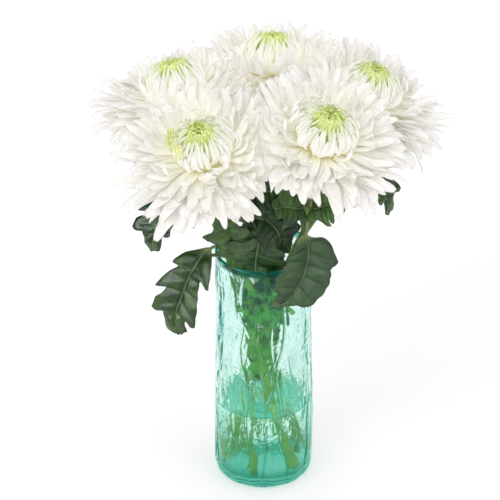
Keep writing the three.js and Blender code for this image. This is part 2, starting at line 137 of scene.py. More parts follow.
# %% From rings of points to a mesh
def loft_faces(lofts, rings, points):
    """Quads for many lofts, each with this many rings of this many points."""
    here = np.arange(points)
    edge = np.stack([here, (here + 1) % points], 1)
    band = np.concatenate([edge, edge[:, ::-1] + points], 1)
    wall = (band + points * np.arange(rings - 1)[:, None, None]).reshape(-1, 4)
    step = np.arange(points // 2 - 1)
    cap = np.stack([step, points - 1 - step, points - 2 - step, step + 1], 1)
    single = np.concatenate([wall, cap, cap[:, ::-1] + (rings - 1) * points])
    return (single + rings * points * np.arange(lofts)[:, None, None]).reshape(-1, 4)


def loft_volume(verts, faces):
    """A sum of signed corner volumes, enough to tell inside from outside."""
    a, b, c, d = (verts[faces[:, i]] for i in range(4))
    return np.sum(a * np.cross(b, c)) + np.sum(a * np.cross(c, d))


class Body:
    """Lofts gathered into one mesh, with the values painted on their points."""

    def __init__(self):
        self.verts, self.faces, self.values = [], [], []

    def add(self, rings, values):
        """Adds lofts, given as an array [loft, ring, point, xyz]."""
        verts = rings.reshape(-1, 3)
        faces = loft_faces(*rings.shape[:3])
        if loft_volume(verts - verts.mean(0), faces) < 0:
            faces = faces[:, ::-1]
        self.faces.append(faces + sum(len(part) for part in self.verts))
        self.verts.append(verts)
        shape = rings.shape[:3]
        self.values.append({key: np.broadcast_to(values[key], shape).ravel() for key in values})

    def build(self, name, material, node, slot):
        """Makes the Blender object and lets it stand for its CAD node."""
        mesh = bpy.data.meshes.new(name)
        faces = np.concatenate(self.faces).tolist()
        mesh.from_pydata((np.concatenate(self.verts) * MM).tolist(), [], faces)
        mesh.polygons.foreach_set("use_smooth", np.ones(len(faces), dtype=bool))
        for key in sorted(set().union(*self.values)):
            parts = [
                part.get(key, np.zeros(len(verts))) for part, verts in zip(self.values, self.verts)
            ]
            attribute = mesh.attributes.new(key, "FLOAT", "POINT")
            attribute.data.foreach_set("value", np.concatenate(parts).astype(np.float32))
        mesh.materials.append(material)
        mesh.update()
        piece = add_object(name, mesh)
        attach(piece, "root")
        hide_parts(node)
        print(name, "-", len(faces), "faces")


def table(points, x):
    """Reads one or more columns of a table of [x, value, ...] at x."""
    points = np.array(points, dtype=float)
    columns = [np.interp(x, points[:, 0], column) for column in points.T[1:]]
    return columns[0] if len(columns) == 1 else np.stack(columns, -1)


def ramp(x, low, high):
    """0 below low, 1 above high, and a soft step between."""
    share = np.clip((x - low) / (high - low), 0, 1)
    return share * share * (3 - 2 * share)


def turned(profile, sides):
    """Rings of a profile of [radius, height] turned about the upright axis."""
    outward, _ = spokes(np.linspace(0, 2 * math.pi, sides, endpoint=False))
    radius, height = np.array(profile, dtype=float).T[..., None, None]
    return outward * radius + UP * height


print("faces in a plain box:", len(loft_faces(1, 2, 4)))

# %% [markdown]
# ## Shared shader groups
#
# A living surface is never one colour. Two effects turn up on petals, florets,
# leaves and stems alike, so each is a node group, made once and placed in every
# material with its own values:
#
# - *Mottle* is a soft cloud of lighter and darker patches, from noise.
# - *Fine lines* are the threads that run along a petal or stem. They read the value
#   `across`, which the lofts carry, so they follow each bend.
#
# A node's socket holds a plain value or takes another node's output. One small
# function does either, so each material below reads like a recipe.

# %% Node helpers and groups
def feed(tree, node, values):
    """Sets a node's sockets. Outputs are linked, and plain values stay in place."""
    for label, value in values.items():
        socket = node.inputs[label]
        if isinstance(value, bpy.types.NodeSocket):
            tree.links.new(value, socket)
        else:
            socket.default_value = (*value, 1.0) if socket.type == "RGBA" else value


def add_node(tree, kind, values=None, **settings):
    """A new shader node of a kind, with its settings and its sockets' values."""
    node = tree.nodes.new("ShaderNode" + kind)
    for name, value in settings.items():
        setattr(node, name, value)
    feed(tree, node, values or {})
    return node


def math_node(tree, operation, first, second=0.0, clamp=False):
    sockets = {0: first, 1: second}
    return add_node(tree, "Math", sockets, operation=operation, use_clamp=clamp).outputs[0]


def times(tree, first, second, clamp=False):
    return math_node(tree, "MULTIPLY", first, second, clamp)


def plus(tree, first, second, clamp=False):
    return math_node(tree, "ADD", first, second, clamp)


def past(tree, value, start, slope):
    """How far a value is past a start, times a slope, held between 0 and 1."""
    return times(tree, math_node(tree, "SUBTRACT", value, start), slope, clamp=True)


def mix_colour(tree, factor, first, second):
    """The first colour at factor 0, the second at 1."""
    return add_node(tree, "Mix", {0: factor, 6: first, 7: second}, data_type="RGBA").outputs[2]


def mix_shaders(tree, factor, first, second):
    return add_node(tree, "MixShader", {0: factor, 1: first, 2: second}).outputs[0]


def colour_ramp(tree, factor, stops):
    """A colour ramp with stops of (place, colour)."""
    node = add_node(tree, "ValToRGB", {"Fac": factor})
    elements = node.color_ramp.elements
    while len(elements) < len(stops):
        elements.new(0.5)
    for element, (place, colour) in zip(elements, stops):
        element.position = place
        element.color = (*colour, 1.0)
    return node.outputs["Color"]


def painted(tree, *names):
    """The outputs of values painted on the mesh, or the one output of one."""
    found = [add_node(tree, "Attribute", attribute_name=name).outputs["Fac"] for name in names]
    return found if len(found) > 1 else found[0]


def new_group(name, inputs, output):
    """An empty node group of float sockets, with its first and last node."""
    group = bpy.data.node_groups.new(name, "ShaderNodeTree")
    for label, default in inputs.items():
        socket = group.interface.new_socket(label, in_out="INPUT", socket_type="NodeSocketFloat")
        socket.default_value = default
    group.interface.new_socket(output, in_out="OUTPUT", socket_type="NodeSocketFloat")
    return group, group.nodes.new("NodeGroupInput"), group.nodes.new("NodeGroupOutput")


def make_mottle():
    """Noise about 0.5, as wide as Amount, with patches of 1 / Scale metres."""
    group, start, end = new_group("Mottle", {"Scale": 100.0, "Amount": 0.3}, "Value")
    place = add_node(group, "TexCoord").outputs["Object"]
    sockets = {"Detail": 3.0, "Vector": place, "Scale": start.outputs["Scale"]}
    noise = add_node(group, "TexNoise", sockets).outputs["Fac"]
    spread = times(group, math_node(group, "SUBTRACT", noise, 0.5), start.outputs["Amount"])
    feed(group, end, {"Value": plus(group, spread, 0.5)})
    return group


def make_fine_lines():
    """Ridges along a loft, from its painted value across."""
    group, start, end = new_group("Fine lines", {"Lines": 8.0}, "Height")
    wave = times(group, painted(group, "across"), start.outputs["Lines"])
    feed(group, end, {"Height": math_node(group, "SINE", wave)})
    return group


MOTTLE = make_mottle()
FINE_LINES = make_fine_lines()


def use_group(tree, group, **values):
    """Places a node group in a material with its own values."""
    return add_node(tree, "Group", values, node_tree=group).outputs[0]


def mottle(tree, scale, amount=1.0):
    return use_group(tree, MOTTLE, Scale=scale, Amount=amount)


def patches(tree, scale, amount, tone, share):
    """Mottle that the painted tone of each petal, leaf or stem shifts by a share."""
    return plus(tree, mottle(tree, scale, amount), times(tree, tone, share), clamp=True)


def fine_lines(tree, lines, distance, strength):
    """The normal of a surface with ridges along it."""
    return bump(tree, use_group(tree, FINE_LINES, Lines=lines), distance, strength)


def new_material(name):
    """A material, its node tree and its Principled shader."""
    material = bpy.data.materials.new(name)
    material.use_nodes = True
    return material, material.node_tree, material.node_tree.nodes["Principled BSDF"]


def bump(tree, height, distance, strength):
    """The normal of a surface that a height has roughened."""
    sockets = {"Height": height, "Distance": distance, "Strength": strength}
    return add_node(tree, "Bump", sockets).outputs["Normal"]


print("node groups:", [group.name for group in bpy.data.node_groups])

# %% [markdown]
# ## The camera
#
# The photograph looks down on the bunch by about thirty degrees from a few metres
# away, through a long lens. A long lens far off keeps the jar's sides parallel, as
# in the photograph, where a wide one close by would make the heads bulge. The
# camera looks at a point halfway up the bunch.

# %% Camera
LOOK_AT = Vector((-13.3, 0.0, 247.6)) * MM
CAMERA_RISE = math.radians(30.5)
CAMERA_DISTANCE = 2.8

camera_data = bpy.data.cameras.new("camera")
camera_data.lens = 211.75
camera_data.sensor_width = 36.0
camera_data.clip_end = 50.0
camera = add_object("camera", camera_data)
toward_camera = Vector((0.0, -math.cos(CAMERA_RISE), math.sin(CAMERA_RISE)))
camera.location = LOOK_AT + toward_camera * CAMERA_DISTANCE
camera.rotation_euler = facing(-toward_camera)
bpy.context.scene.camera = camera
print("camera at", tuple(round(value, 3) for value in camera.location))

# %% [markdown]
# ## Heads that press against each other
#
# In a full bunch the heads touch, and each pushes its neighbour's petals aside. A
# collision simulation could do that, but two rules give the same look and never
# fail: halfway between two heads stands an unseen plane, and a point that comes
# near it is pressed back to its own side and lifted a little.
#
# White heads also light each other. Where a neighbour is near, a petal gets more
# painted glow, for the light that a render with few bounces would not give it.

# %% The pressing and bouncing rules
PRESS_DEPTH = 20.0
PRESS_MINGLE = 7.0
PRESS_LIFT = 0.45
HEAD_MIDDLE = 14.0
BOUNCE = 1.5
BOUNCE_NEAR, BOUNCE_FAR = 50, 88


def other_middles(plant):
    """The middles of the other four heads."""
    others = [other for other in PLANTS if other is not plant]
    return [other["seat"] + HEAD_MIDDLE * other["axis"] for other in others]


def press_back(points, plant):
    """Presses points of one head back from its neighbours."""
    own = plant["seat"] + HEAD_MIDDLE * plant["axis"]
    span = PRESS_DEPTH + PRESS_MINGLE
    for middle in other_middles(plant):
        apart = unit(own - middle)
        depth = (points - middle) @ apart - np.linalg.norm(own - middle) / 2
        short = np.minimum(depth - PRESS_DEPTH, 0)
        pressed = span * np.exp(short / span) - PRESS_MINGLE
        push = np.where(short < 0, pressed - depth, 0.0)[..., None]
        points = points + push * (apart + PRESS_LIFT * UP)
    return points


def bounced_light(points, plant):
    """How much painted glow a petal gets: more where white neighbours are near."""
    nearest = np.min([np.linalg.norm(points - m, axis=-1) for m in other_middles(plant)], axis=0)
    return plant.get("lit", 1.0) + BOUNCE * (1 - ramp(nearest, BOUNCE_NEAR, BOUNCE_FAR))


gap = np.linalg.norm(PLANTS[0]["seat"] - PLANTS[1]["seat"])
print("front heads sit", round(float(gap)), "mm apart")

# %% [markdown]
# ## Petals
#
# A chrysanthemum head is hundreds of separate florets on a small dome, set one
# after another by the golden angle, which is why no two lie on one spoke. The
# lowest hang down, the middle ones reach out, the next stand up with curled tips,
# and the inner ones arch over into a ball.
#
# So the tables below give, from the outermost place 0 to the innermost place 1,
# where a petal's midline starts, bends and ends. A petal is a strap: narrow at its
# root, widest past the middle, blunt at its tip, hollowed like a gutter, and no
# thicker than a coin at its root.

# %% Straps, for petals, florets and bracts
# Each strap has twelve random draws, one for each thing that varies.
DRAWS = 12
LONGER, LIFT, BEND_OUT, BEND_UP, HOOK, SWAY, TWIST, BROAD, TONE, WAVE, TAPER, NOTCH = range(DRAWS)
# Shares of a strap's length: where it is widest, where its tip starts to curl, to
# close and to notch, and how far the closing goes.
WIDEST = 0.6
CURL_STARTS = 0.55
CLOSE_STARTS, CLOSE_OVER = 0.7, 0.3
NOTCH_STARTS = 0.8
WIDTH_VARIES = 0.26
TAPER_VARIES = 0.5
# How drooping moves a strap's tip and bend, out and up.
TIP_DROOPS = (0.5, -1.0)
BEND_DROOPS = (0.2, -0.5)
# Shares: of the wave in the sway, of a blunt and a pointed tip that is closed, of
# the ridges in the hollow, and of the thickness lost at the tip and the edges.
WAVE_SHARE = 0.35
BLUNT_CLOSES, POINTED_CLOSES = 0.93, 0.8
RIDGES = 0.12
TIP_THINS, EDGE_THINS = 0.4, 0.5
print("things that vary in a strap:", DRAWS)

# %% From a form's tables to rings
def strap_lines(form, places, draws, droop):
    """Midlines of straps and their slopes, in a plane of distance out and height."""
    droop = (droop + 0 * places)[:, None]
    root, bend, tip = (table(form[key], places) for key in ("root", "bend", "tip"))
    tip[:, 0] *= 1 + form["longer"] * draws[:, LONGER]
    tip[:, 1] += form["lift"] * draws[:, LIFT]
    tip += droop * TIP_DROOPS
    bend += form["lift"] * 0.5 * draws[:, [BEND_OUT, BEND_UP]]
    bend += droop * BEND_DROOPS
    t = form["steps"][None, :, None]
    line = (1 - t) ** 2 * root[:, None] + 2 * t * (1 - t) * bend[:, None] + t**2 * tip[:, None]
    slope = unit(2 * (1 - t) * (bend - root)[:, None] + 2 * t * (tip - bend)[:, None])
    hook = table(form["hook"], places) * (1 + draws[:, HOOK])
    curl = hook[:, None] * ramp(form["steps"], CURL_STARTS, 1.0)
    line = line + np.stack([-slope[..., 1], slope[..., 0]], -1) * curl[..., None]
    return line, unit(np.gradient(line, axis=1))


def strap_sections(form, places, draws):
    """Half widths, the lift of the hollow, half thicknesses, and teeth at the tip."""
    steps, section = form["steps"], form["section"]
    point = form["taper"] * (1 + TAPER_VARIES * draws[:, [TAPER]])
    end = np.clip((steps - CLOSE_STARTS) / CLOSE_OVER, 0, 1)
    blunt, pointed = np.sqrt(1 - BLUNT_CLOSES * end**3), 1 - POINTED_CLOSES * end
    close = (1 - point) * blunt + point * pointed
    half = 0.5 * table(form["width"], places) * (1 + WIDTH_VARIES * draws[:, BROAD])
    narrow = form["narrow"] + (1 - form["narrow"]) * ramp(steps, 0.0, WIDEST)
    half = half[:, None] * narrow * close
    hollow = table(form["hollow"], places)[:, None] * (0.6 + 0.4 * ramp(steps, 0.0, WIDEST))
    gutter = section**2 - RIDGES * np.cos(3 * math.pi * section)
    shell = (1 - TIP_THINS * steps[:, None]) * (1 - EDGE_THINS * section**2)
    teeth = form["notch"] * draws[:, [NOTCH]] * ramp(steps, NOTCH_STARTS, 1.0)
    teeth = (teeth * half.max(1)[:, None])[..., None] * np.cos(2 * math.pi * section)
    return half[..., None], (half * hollow)[..., None] * gutter, 0.5 * form["thick"] * shell, teeth


def straps(form, plant, places, turns, draws, droop=0.0):
    """Rings of many straps on a head and their painted values, from a form's tables."""
    steps, section = form["steps"], form["section"]
    line, slope = strap_lines(form, places, draws, droop)
    half, lift, shell, teeth = strap_sections(form, places, draws)
    wave = WAVE_SHARE * draws[:, [WAVE]] * np.sin(2 * math.pi * steps)
    sway = form["sway"] * (draws[:, [SWAY]] * steps**2 + wave)
    # The midline in space, with the ways forward, sideways and above.
    outward, across = (spoke[:, None] for spoke in spokes(turns))
    centre = outward * line[..., :1] + UP * line[..., 1:] + across * sway[..., None]
    above = -outward * slope[..., 1:] + UP * slope[..., :1]
    forward = outward * slope[..., :1] + UP * slope[..., 1:]
    twist = (form["twist"] * draws[:, [TWIST]] * steps)[..., None]
    side = across * np.cos(twist) + above * np.sin(twist)
    above = above * np.cos(twist) - across * np.sin(twist)
    middle = centre[:, :, None] + side[:, :, None] * (half * section)[..., None]
    middle = middle + forward[:, :, None] * teeth[..., None]
    top, under = (middle + above[:, :, None] * (lift + s * shell)[..., None] for s in (1, -1))
    values = {
        "along": steps[:, None],
        "across": np.concatenate([section, section[::-1]]),
        "place": places[:, None, None],
        "tone": draws[:, TONE, None, None],
    }
    return head_placer(plant)(np.concatenate([top, under[:, :, ::-1]], 2)), values


print("a strap curls, closes and notches from", CURL_STARTS, CLOSE_STARTS, NOTCH_STARTS)

# %% Petal tables
# Root, bend and tip give the place in the head, the distance from its axis, and the
# height above its seat. The jump after 0.71 parts the open petals from the ball.
PETAL_FORM = {
    "root": [[0, 12, 3], [0.35, 15, 7], [0.6, 17, 12], [0.71, 17, 15], [0.72, 13, 13],
             [0.86, 14, 19], [1, 12, 27]],
    "bend": [[0, 48, 6], [0.14, 52, 6], [0.35, 51, 14], [0.55, 46, 24], [0.65, 43, 27],
             [0.71, 41, 28], [0.72, 41, 22], [0.86, 37, 30], [1, 25, 40]],
    "tip": [[0, 54, -22], [0.14, 69, -10], [0.35, 75, 8], [0.5, 67, 23], [0.6, 56, 33],
            [0.67, 45, 41], [0.71, 34, 46], [0.72, 23, 45.5], [0.86, 16, 47.5], [1, 10, 48.5]],
    "width": [[0, 11.6], [0.35, 11.0], [0.55, 9.2], [0.71, 6.8], [0.72, 4.8], [1, 2.8]],
    "hollow": [[0, 0.14], [0.35, 0.2], [0.5, 0.32], [0.71, 0.5], [0.72, 0.45], [1, 0.5]],
    "hook": [[0, 2.5], [0.2, 5.5], [0.5, 7.0], [0.71, 3.0], [0.72, 0.0], [1, 0.0]],
    "longer": 0.12, "lift": 6.0, "sway": 9.0, "twist": 0.6,
    "narrow": 0.5, "taper": 0.26, "notch": 0.2, "thick": 0.9,
    "steps": np.array([0, 0.12, 0.24, 0.36, 0.48, 0.6, 0.7, 0.79, 0.87, 0.93, 0.975, 1.0]),
    "section": np.array([-1, -0.5, 0, 0.5, 1]),
}
HEART = [[0.2, 0], [9, 0], [19, 4], [22.5, 12], [23.5, 20], [21.5, 28], [17, 33], [0.2, 34]]
PETAL_SEED = 500
PETAL_COUNT = 440
# The open petals end at a ragged collar, where the ball starts.
BALL_STARTS = 0.715
COLLAR, COLLAR_WIDTH = 0.7, 0.06
PLACE_SCATTER = 0.04
COLLAR_SCATTER = 0.06
TURN_SCATTER = 0.07
FREE_REACH = 0.06
LONGEST = 0.16
# Places between which the outer petals stop being ragged, and how much more they
# vary than the others, towards short and towards long.
RAGGED = (0.4, 0.6)
SHORTER_MORE, LONGER_MORE = 1.4, 0.25
# Petals with a tone above this vary more in length, and so do those of the ball,
# which are longer too.
ODD_TONE, ODD_VARIES = 0.6, 1.3
BALL_VARIES, BALL_LONGER = 2.5, 0.8
DROOP = 15.0
DROOP_SHARE, DROOP_VARIES = 0.75, 0.45
FULL_TILT = math.radians(26)
# How much a petal sways by itself, with its tuft, and at most.
OWN_SWAY, TUFT_SWAY, MOST_SWAY = 0.8, 1.1, 2
# Petals of the ball bend, wave and lift less than others, and lie lower. The lowest
# petals of a head lift and fall more.
BALL_BENDS, BALL_WAVES = 0.5, 0.4
BALL_LIFTS, BALL_LOWER = 0.7, 0.5
LOWEST_LIFT_MORE = 0.6
# Cosines from a worn bearing: where petals start to be shorter, and where they are
# as short as they get.
WORN_EDGE, WORN_FULL = 0.8, 0.97
# Waves that gather petals in tufts: how many round a head, how they shift inward,
# and their share.
CLUMP_WAVES = [(5, 9, 0.5), (9, -14, 0.3), (14, 23, 0.2)]
print("petals in each head:", PETAL_COUNT)

# %% How the petals of a head grow
def clump(turns, places, phases):
    """How far each petal is drawn into a tuft, with gaps between the tufts."""
    return sum(
        share * np.sin(around * turns + inward * places + phase)
        for (around, inward, share), phase in zip(CLUMP_WAVES, phases)
    )


def vary_lengths(plant, places, turns, draws, leaning):
    """Ragged outer petals, longer on the free side, shorter where they are worn."""
    one_part = 1 / PETAL_FORM["longer"]
    lengths = draws[:, LONGER] * np.where(draws[:, TONE] > ODD_TONE, ODD_VARIES, 1.0)
    ragged = 1 - ramp(places, *RAGGED)
    lengths *= 1 + ragged * np.where(lengths < 0, SHORTER_MORE, LONGER_MORE)
    is_open = places < BALL_STARTS
    lengths = np.where(is_open, lengths, lengths * BALL_VARIES + BALL_LONGER)
    away = unit(plant["seat"] * (1, 1, 0))
    lengths += FREE_REACH * one_part * np.maximum(leaning @ away, 0) * is_open
    lengths = np.minimum(lengths, LONGEST * one_part)
    if "worn" in plant:
        bearing, shorter, inmost = plant["worn"]
        near = ramp(np.cos(turns - math.radians(bearing)), WORN_EDGE, WORN_FULL)
        outer = 1 - ramp(places, inmost - 0.15, inmost + 0.1)
        lengths -= shorter * one_part * near * outer
    draws[:, LONGER] = lengths


def gather(places, turns, draws, phases):
    """Gathers the open petals in tufts, and sets those of the ball close together."""
    is_open = places < BALL_STARTS
    tuft = clump(turns, places, phases[:3])
    sway = OWN_SWAY * draws[:, SWAY] + TUFT_SWAY * tuft * is_open
    draws[:, SWAY] = np.clip(sway, -MOST_SWAY, MOST_SWAY)
    draws[:, LIFT] += clump(turns, places, phases[3:]) * is_open
    draws[~is_open, BEND_OUT:TONE] *= BALL_BENDS
    draws[~is_open, WAVE] *= BALL_WAVES
    draws[~is_open, LIFT] = BALL_LIFTS * draws[~is_open, LIFT] - BALL_LOWER
    draws[:, LIFT] *= 1 + LOWEST_LIFT_MORE * (1 - ramp(places, 0.1, 0.3))


def grow_petals(plant, index):
    """All the white petals of one head, with the small heart they grow from."""
    random = np.random.default_rng(PETAL_SEED + index)
    places = np.linspace(0, 1, PETAL_COUNT)
    at_collar = np.exp(-(((places - COLLAR) / COLLAR_WIDTH) ** 2))
    scatter = PLACE_SCATTER + COLLAR_SCATTER * at_collar
    places = np.clip(places + scatter * random.uniform(-1, 1, PETAL_COUNT), 0, 1)
    draws = random.uniform(-1, 1, (PETAL_COUNT, DRAWS))
    phases = random.uniform(0, 2 * math.pi, 6)
    turns = np.arange(PETAL_COUNT) * GOLDEN_ANGLE + index
    turns = turns + TURN_SCATTER * random.uniform(-1, 1, PETAL_COUNT)
    gather(places, turns, draws, phases)
    place = head_placer(plant)
    leaning = place(spokes(turns)[0]) - plant["seat"]
    vary_lengths(plant, places, turns, draws, leaning)
    # Petals on the low side of a tilted head droop.
    droop = DROOP * np.maximum(-leaning[:, 2], 0) / math.sin(FULL_TILT)
    hang = plant.get("hang", 0) / DROOP * droop * (1 - ramp(places, 0.1, 0.5))
    droop = droop * ramp(places, 0.3, 0.6) * (places < BALL_STARTS)
    droop = droop * (DROOP_SHARE + DROOP_VARIES * draws[:, BEND_UP]) + hang
    rings, values = straps(PETAL_FORM, plant, places, turns, draws, droop)
    rings = press_back(rings, plant)
    body = Body()
    body.add(rings, {**values, "lit": bounced_light(rings, plant)})
    # The heart takes the olive cream of the petals' roots: partly its own colour, partly painted
    # shade where it shows between the petals.
    body.add(place(turned(HEART, 24))[None], {"along": 0.04, "place": 0.6, "lit": 0.6})
    return body


print("waves that gather petals:", len(CLUMP_WAVES))

# %% [markdown]
# ## Petal white
#
# The petals are a warm white, faintly green near the heart, that turns cream and
# then olive towards the root: partly their own colour, partly painted shade for
# light that has bounced among them many times. A plain white diffuse would look like
# paper. Petals are thin and full of water, so some light goes in at one side and out
# at the other: a little subsurface scattering gives that soft glow between them.
# Light that has crossed many petals would need many more bounces than a render can
# spend, so the petals also give off a faint cream painted glow, most of it near the root.

# %% Petal material
def make_petal_material():
    material, tree, shader = new_material("chrysanthemum_petal")
    along, place, tone, lit = painted(tree, "along", "place", "tone", "lit")
    # Cream, then olive at the root: partly the petals' own colour, partly painted shade.
    white = colour_ramp(tree, along, [
        (0.0, (0.56, 0.52, 0.20)), (0.12, (0.87, 0.84, 0.62)), (0.3, (0.95, 0.935, 0.84)),
        (0.6, (0.955, 0.945, 0.90)), (1.0, (0.95, 0.935, 0.93)),
    ])
    green = times(tree, past(tree, place, 0.76, 2.6), past(tree, along, 0.45, 2.2))
    tinted = mix_colour(tree, green, white, (0.74, 0.90, 0.36))
    shade = times(tree, patches(tree, 140.0, 0.5, tone, 0.12), 0.2)
    warm = mix_colour(tree, shade, tinted, (0.96, 0.93, 0.80))
    # Painted glow: faint light the petals give off, most near the root, more in the ball, and more
    # on brighter heads and near neighbours.
    root_glow = (0.0, (0.20, 0.18, 0.05))
    open_glow = colour_ramp(tree, along, [
        root_glow, (0.14, (0.54, 0.51, 0.40)), (0.5, (0.34, 0.33, 0.285)),
        (1.0, (0.235, 0.22, 0.195)),
    ])
    ball_glow = colour_ramp(tree, along, [
        root_glow, (0.14, (0.90, 0.87, 0.68)), (0.5, (0.70, 0.69, 0.56)),
        (1.0, (0.34, 0.34, 0.28)),
    ])
    feed(tree, shader, {
        "Base Color": warm,
        "Emission Color": mix_colour(tree, past(tree, place, 0.68, 12.0), open_glow, ball_glow),
        "Emission Strength": times(tree, lit, 0.21),
        "Roughness": 0.55,
        "Specular IOR Level": 0.12,
        "Subsurface Weight": 0.4,
        "Subsurface Radius": (1.0, 1.0, 1.0),
        "Subsurface Scale": 0.002,
        "Normal": fine_lines(tree, 9.0, 0.00015, 0.6),
    })
    return material


PETAL = make_petal_material()
for index, plant in enumerate(PLANTS):
    name = plant["name"]
    grow_petals(plant, index).build("petals_" + name, PETAL, "bloom_" + name, "petal")

# %% [markdown]
# ## Green centres
#
# At the middle of each head the youngest florets are still closed: a patch of tiny
# lime-green threads that all curl inwards. They are straps too, only finer, so the
# same function grows them from a second set of tables.

# %% Centre florets
FLORET_FORM = {
    "root": [[0, 0.5, 39], [0.6, 6, 36], [1, 11, 30]],
    "bend": [[0, 3, 43], [0.6, 11.5, 42], [1, 19, 40]],
    "tip": [[0, 0.5, 45], [0.6, 6, 47], [1, 11, 48.5]],
    "width": [[0, 1.4], [1, 2.4]],
    "hollow": [[0, 0.5], [1, 0.6]],
    "hook": [[0, 0.6], [1, 1.2]],
    "longer": 0.3, "lift": 1.6, "sway": 1.2, "twist": 0.6,
    "narrow": 0.6, "taper": 0.4, "notch": 0.0, "thick": 0.6,
    "steps": np.array([0, 0.25, 0.5, 0.7, 0.85, 0.95, 1.0]),
    "section": np.array([-1.0, 0.0, 1.0]),
}
TUFT_FORM = {
    **FLORET_FORM,
    "root": [[0, 17, 31], [1, 22, 26]],
    "bend": [[0, 24.5, 41], [1, 32, 36.5]],
    "tip": [[0, 22, 46], [1, 30.5, 44]],
    "width": [[0, 2.0], [1, 2.7]],
    "longer": 0.12, "lift": 1.3,
}
DOME = [[0.2, 31], [15, 31], [16.5, 34.5], [13.5, 38.5], [8, 41.3], [0.2, 42.5]]
FLORET_SEED = 700
FLORET_COUNT = 250
TUFT_COUNT = 110
TUFT_SPREAD = 0.62
# Places past 1 tell the material that a floret belongs to the side tuft.
TUFT_PLACE = 1.25
TUFT_TONE = 2.4


def grow_side_tuft(plant, random):
    """A crescent of florets that has broken through the ball at one side."""
    turns = random.uniform(-TUFT_SPREAD, TUFT_SPREAD, TUFT_COUNT)
    turns = math.radians(plant["side_tuft"]) + turns
    draws = random.uniform(-1, 1, (TUFT_COUNT, DRAWS))
    places = random.uniform(0, 1, TUFT_COUNT)
    rings, values = straps(TUFT_FORM, plant, places, turns, draws)
    values["place"] = TUFT_PLACE + 0.3 * values["place"]
    values["tone"] = TUFT_TONE + values["tone"]
    return rings, values


def grow_centre(plant, index):
    """The green florets of one head on their small dome."""
    random = np.random.default_rng(FLORET_SEED + index)
    places = np.sqrt((np.arange(FLORET_COUNT) + 0.5) / FLORET_COUNT)
    draws = random.uniform(-1, 1, (FLORET_COUNT, DRAWS))
    turns = np.arange(FLORET_COUNT) * GOLDEN_ANGLE + 0.2 * random.uniform(-1, 1, FLORET_COUNT)
    body = Body()
    body.add(*straps(FLORET_FORM, plant, places, turns, draws))
    dome = head_placer(plant)(turned(DOME, 20))
    body.add(dome[None], {"along": 0.22, "place": 0.5})
    if "side_tuft" in plant:
        body.add(*grow_side_tuft(plant, random))
    return body


def make_floret_material():
    material, tree, shader = new_material("green_floret")
    along, place, tone = painted(tree, "along", "place", "tone")
    # Dark green at the root and pale yellow at the tip: partly the florets' own colour, partly
    # painted shade in the gaps between them and painted highlights on their tips.
    green = colour_ramp(tree, along, [
        (0.0, (0.15, 0.27, 0.03)), (0.45, (0.42, 0.62, 0.11)), (0.85, (0.74, 0.88, 0.34)),
        (1.0, (0.92, 0.95, 0.58)),
    ])
    pale = mix_colour(tree, past(tree, place, 0.55, 1.6), green, (0.70, 0.84, 0.38))
    shade = times(tree, patches(tree, 400.0, 1.4, tone, 0.25), 0.4)
    varied = mix_colour(tree, shade, pale, (0.78, 0.76, 0.16))
    tuft = times(tree, past(tree, place, 1.1, 6.0), 0.65)
    varied = mix_colour(tree, tuft, varied, (0.95, 0.95, 0.64))
    # The florets also give off a faint painted glow of their own colour.
    feed(tree, shader, {
        "Base Color": varied,
        "Emission Color": varied,
        "Emission Strength": 0.1,
        "Roughness": 0.5,
        "Subsurface Weight": 0.2,
        "Subsurface Radius": (0.8, 1.0, 0.3),
        "Subsurface Scale": 0.002,
        "Normal": fine_lines(tree, 4.0, 0.0001, 0.5),
    })
    return material


FLORET = make_floret_material()
for index, plant in enumerate(PLANTS):
    name = plant["name"]
    grow_centre(plant, index).build("florets_" + name, FLORET, "centre_" + name, "floret")

# %% [markdown]
# ## Stems
#
# A cut stem stands on the jar's floor, crosses the jar in a loose spiral, leans on
# the rim and turns up into its head. It is round with shallow ribs, and it widens
# into a green cup of small pointed bracts under the petals. A spline through the
# same points as the CAD stem gives the centre line, and rings set square to it give
# the skin.

# %% Smooth lines through points
def lengths_along(line):
    """How far each point of a line lies along it."""
    return np.concatenate([[0], np.cumsum(np.linalg.norm(np.diff(line, axis=0), axis=1))])


def spline(points, samples=240):
    """A centripetal spline through points, sampled at equal lengths."""
    points = np.array([list(point) for point in points], dtype=float)
    points = np.vstack([2 * points[0] - points[1], points, 2 * points[-1] - points[-2]])
    s = np.linspace(0, 1, 60, endpoint=False)[:, None]
    pieces = []
    for p0, p1, p2, p3 in zip(points, points[1:], points[2:], points[3:]):
        steps = (p1 - p0, p2 - p1, p3 - p2)
        a, b, c = (max(np.linalg.norm(step) ** 0.5, 1e-4) for step in steps)
        leave = ((p1 - p0) / a - (p2 - p0) / (a + b) + (p2 - p1) / b) * b
        arrive = ((p2 - p1) / b - (p3 - p1) / (b + c) + (p3 - p2) / c) * b
        square = s**2 * (-3 * p1 + 3 * p2 - 2 * leave - arrive)
        pieces.append(p1 + s * leave + square + s**3 * (2 * p1 - 2 * p2 + leave + arrive))
    dense = np.vstack(pieces + [points[-2:-1]])
    length = lengths_along(dense)
    even = np.linspace(0, length[-1], samples)
    return np.stack([np.interp(even, length, column) for column in dense.T], 1)


def stem_line(plant):
    """A stem's centre line, from the jar's floor to its head."""
    seat, axis = plant["seat"], plant["axis"]
    heading = math.atan2(seat[1], seat[0])
    reach = math.hypot(seat[0], seat[1])
    # Distance from the jar's axis, turn before the head's heading, and height.
    spiral = [(30, 168, JAR_FLOOR + SEAT_GAP), (17, 140, 70), (11.5, 92, 130), (20, 34, 190),
              (RIM_LEAN, 7, JAR_HEIGHT - 2), (reach * 0.74, 2, 300)]
    points = [
        radius * spokes(heading + math.radians(turn))[0] + height * UP
        for radius, turn, height in spiral
    ]
    return spline(points + [seat - 34 * axis, seat - 12 * axis])


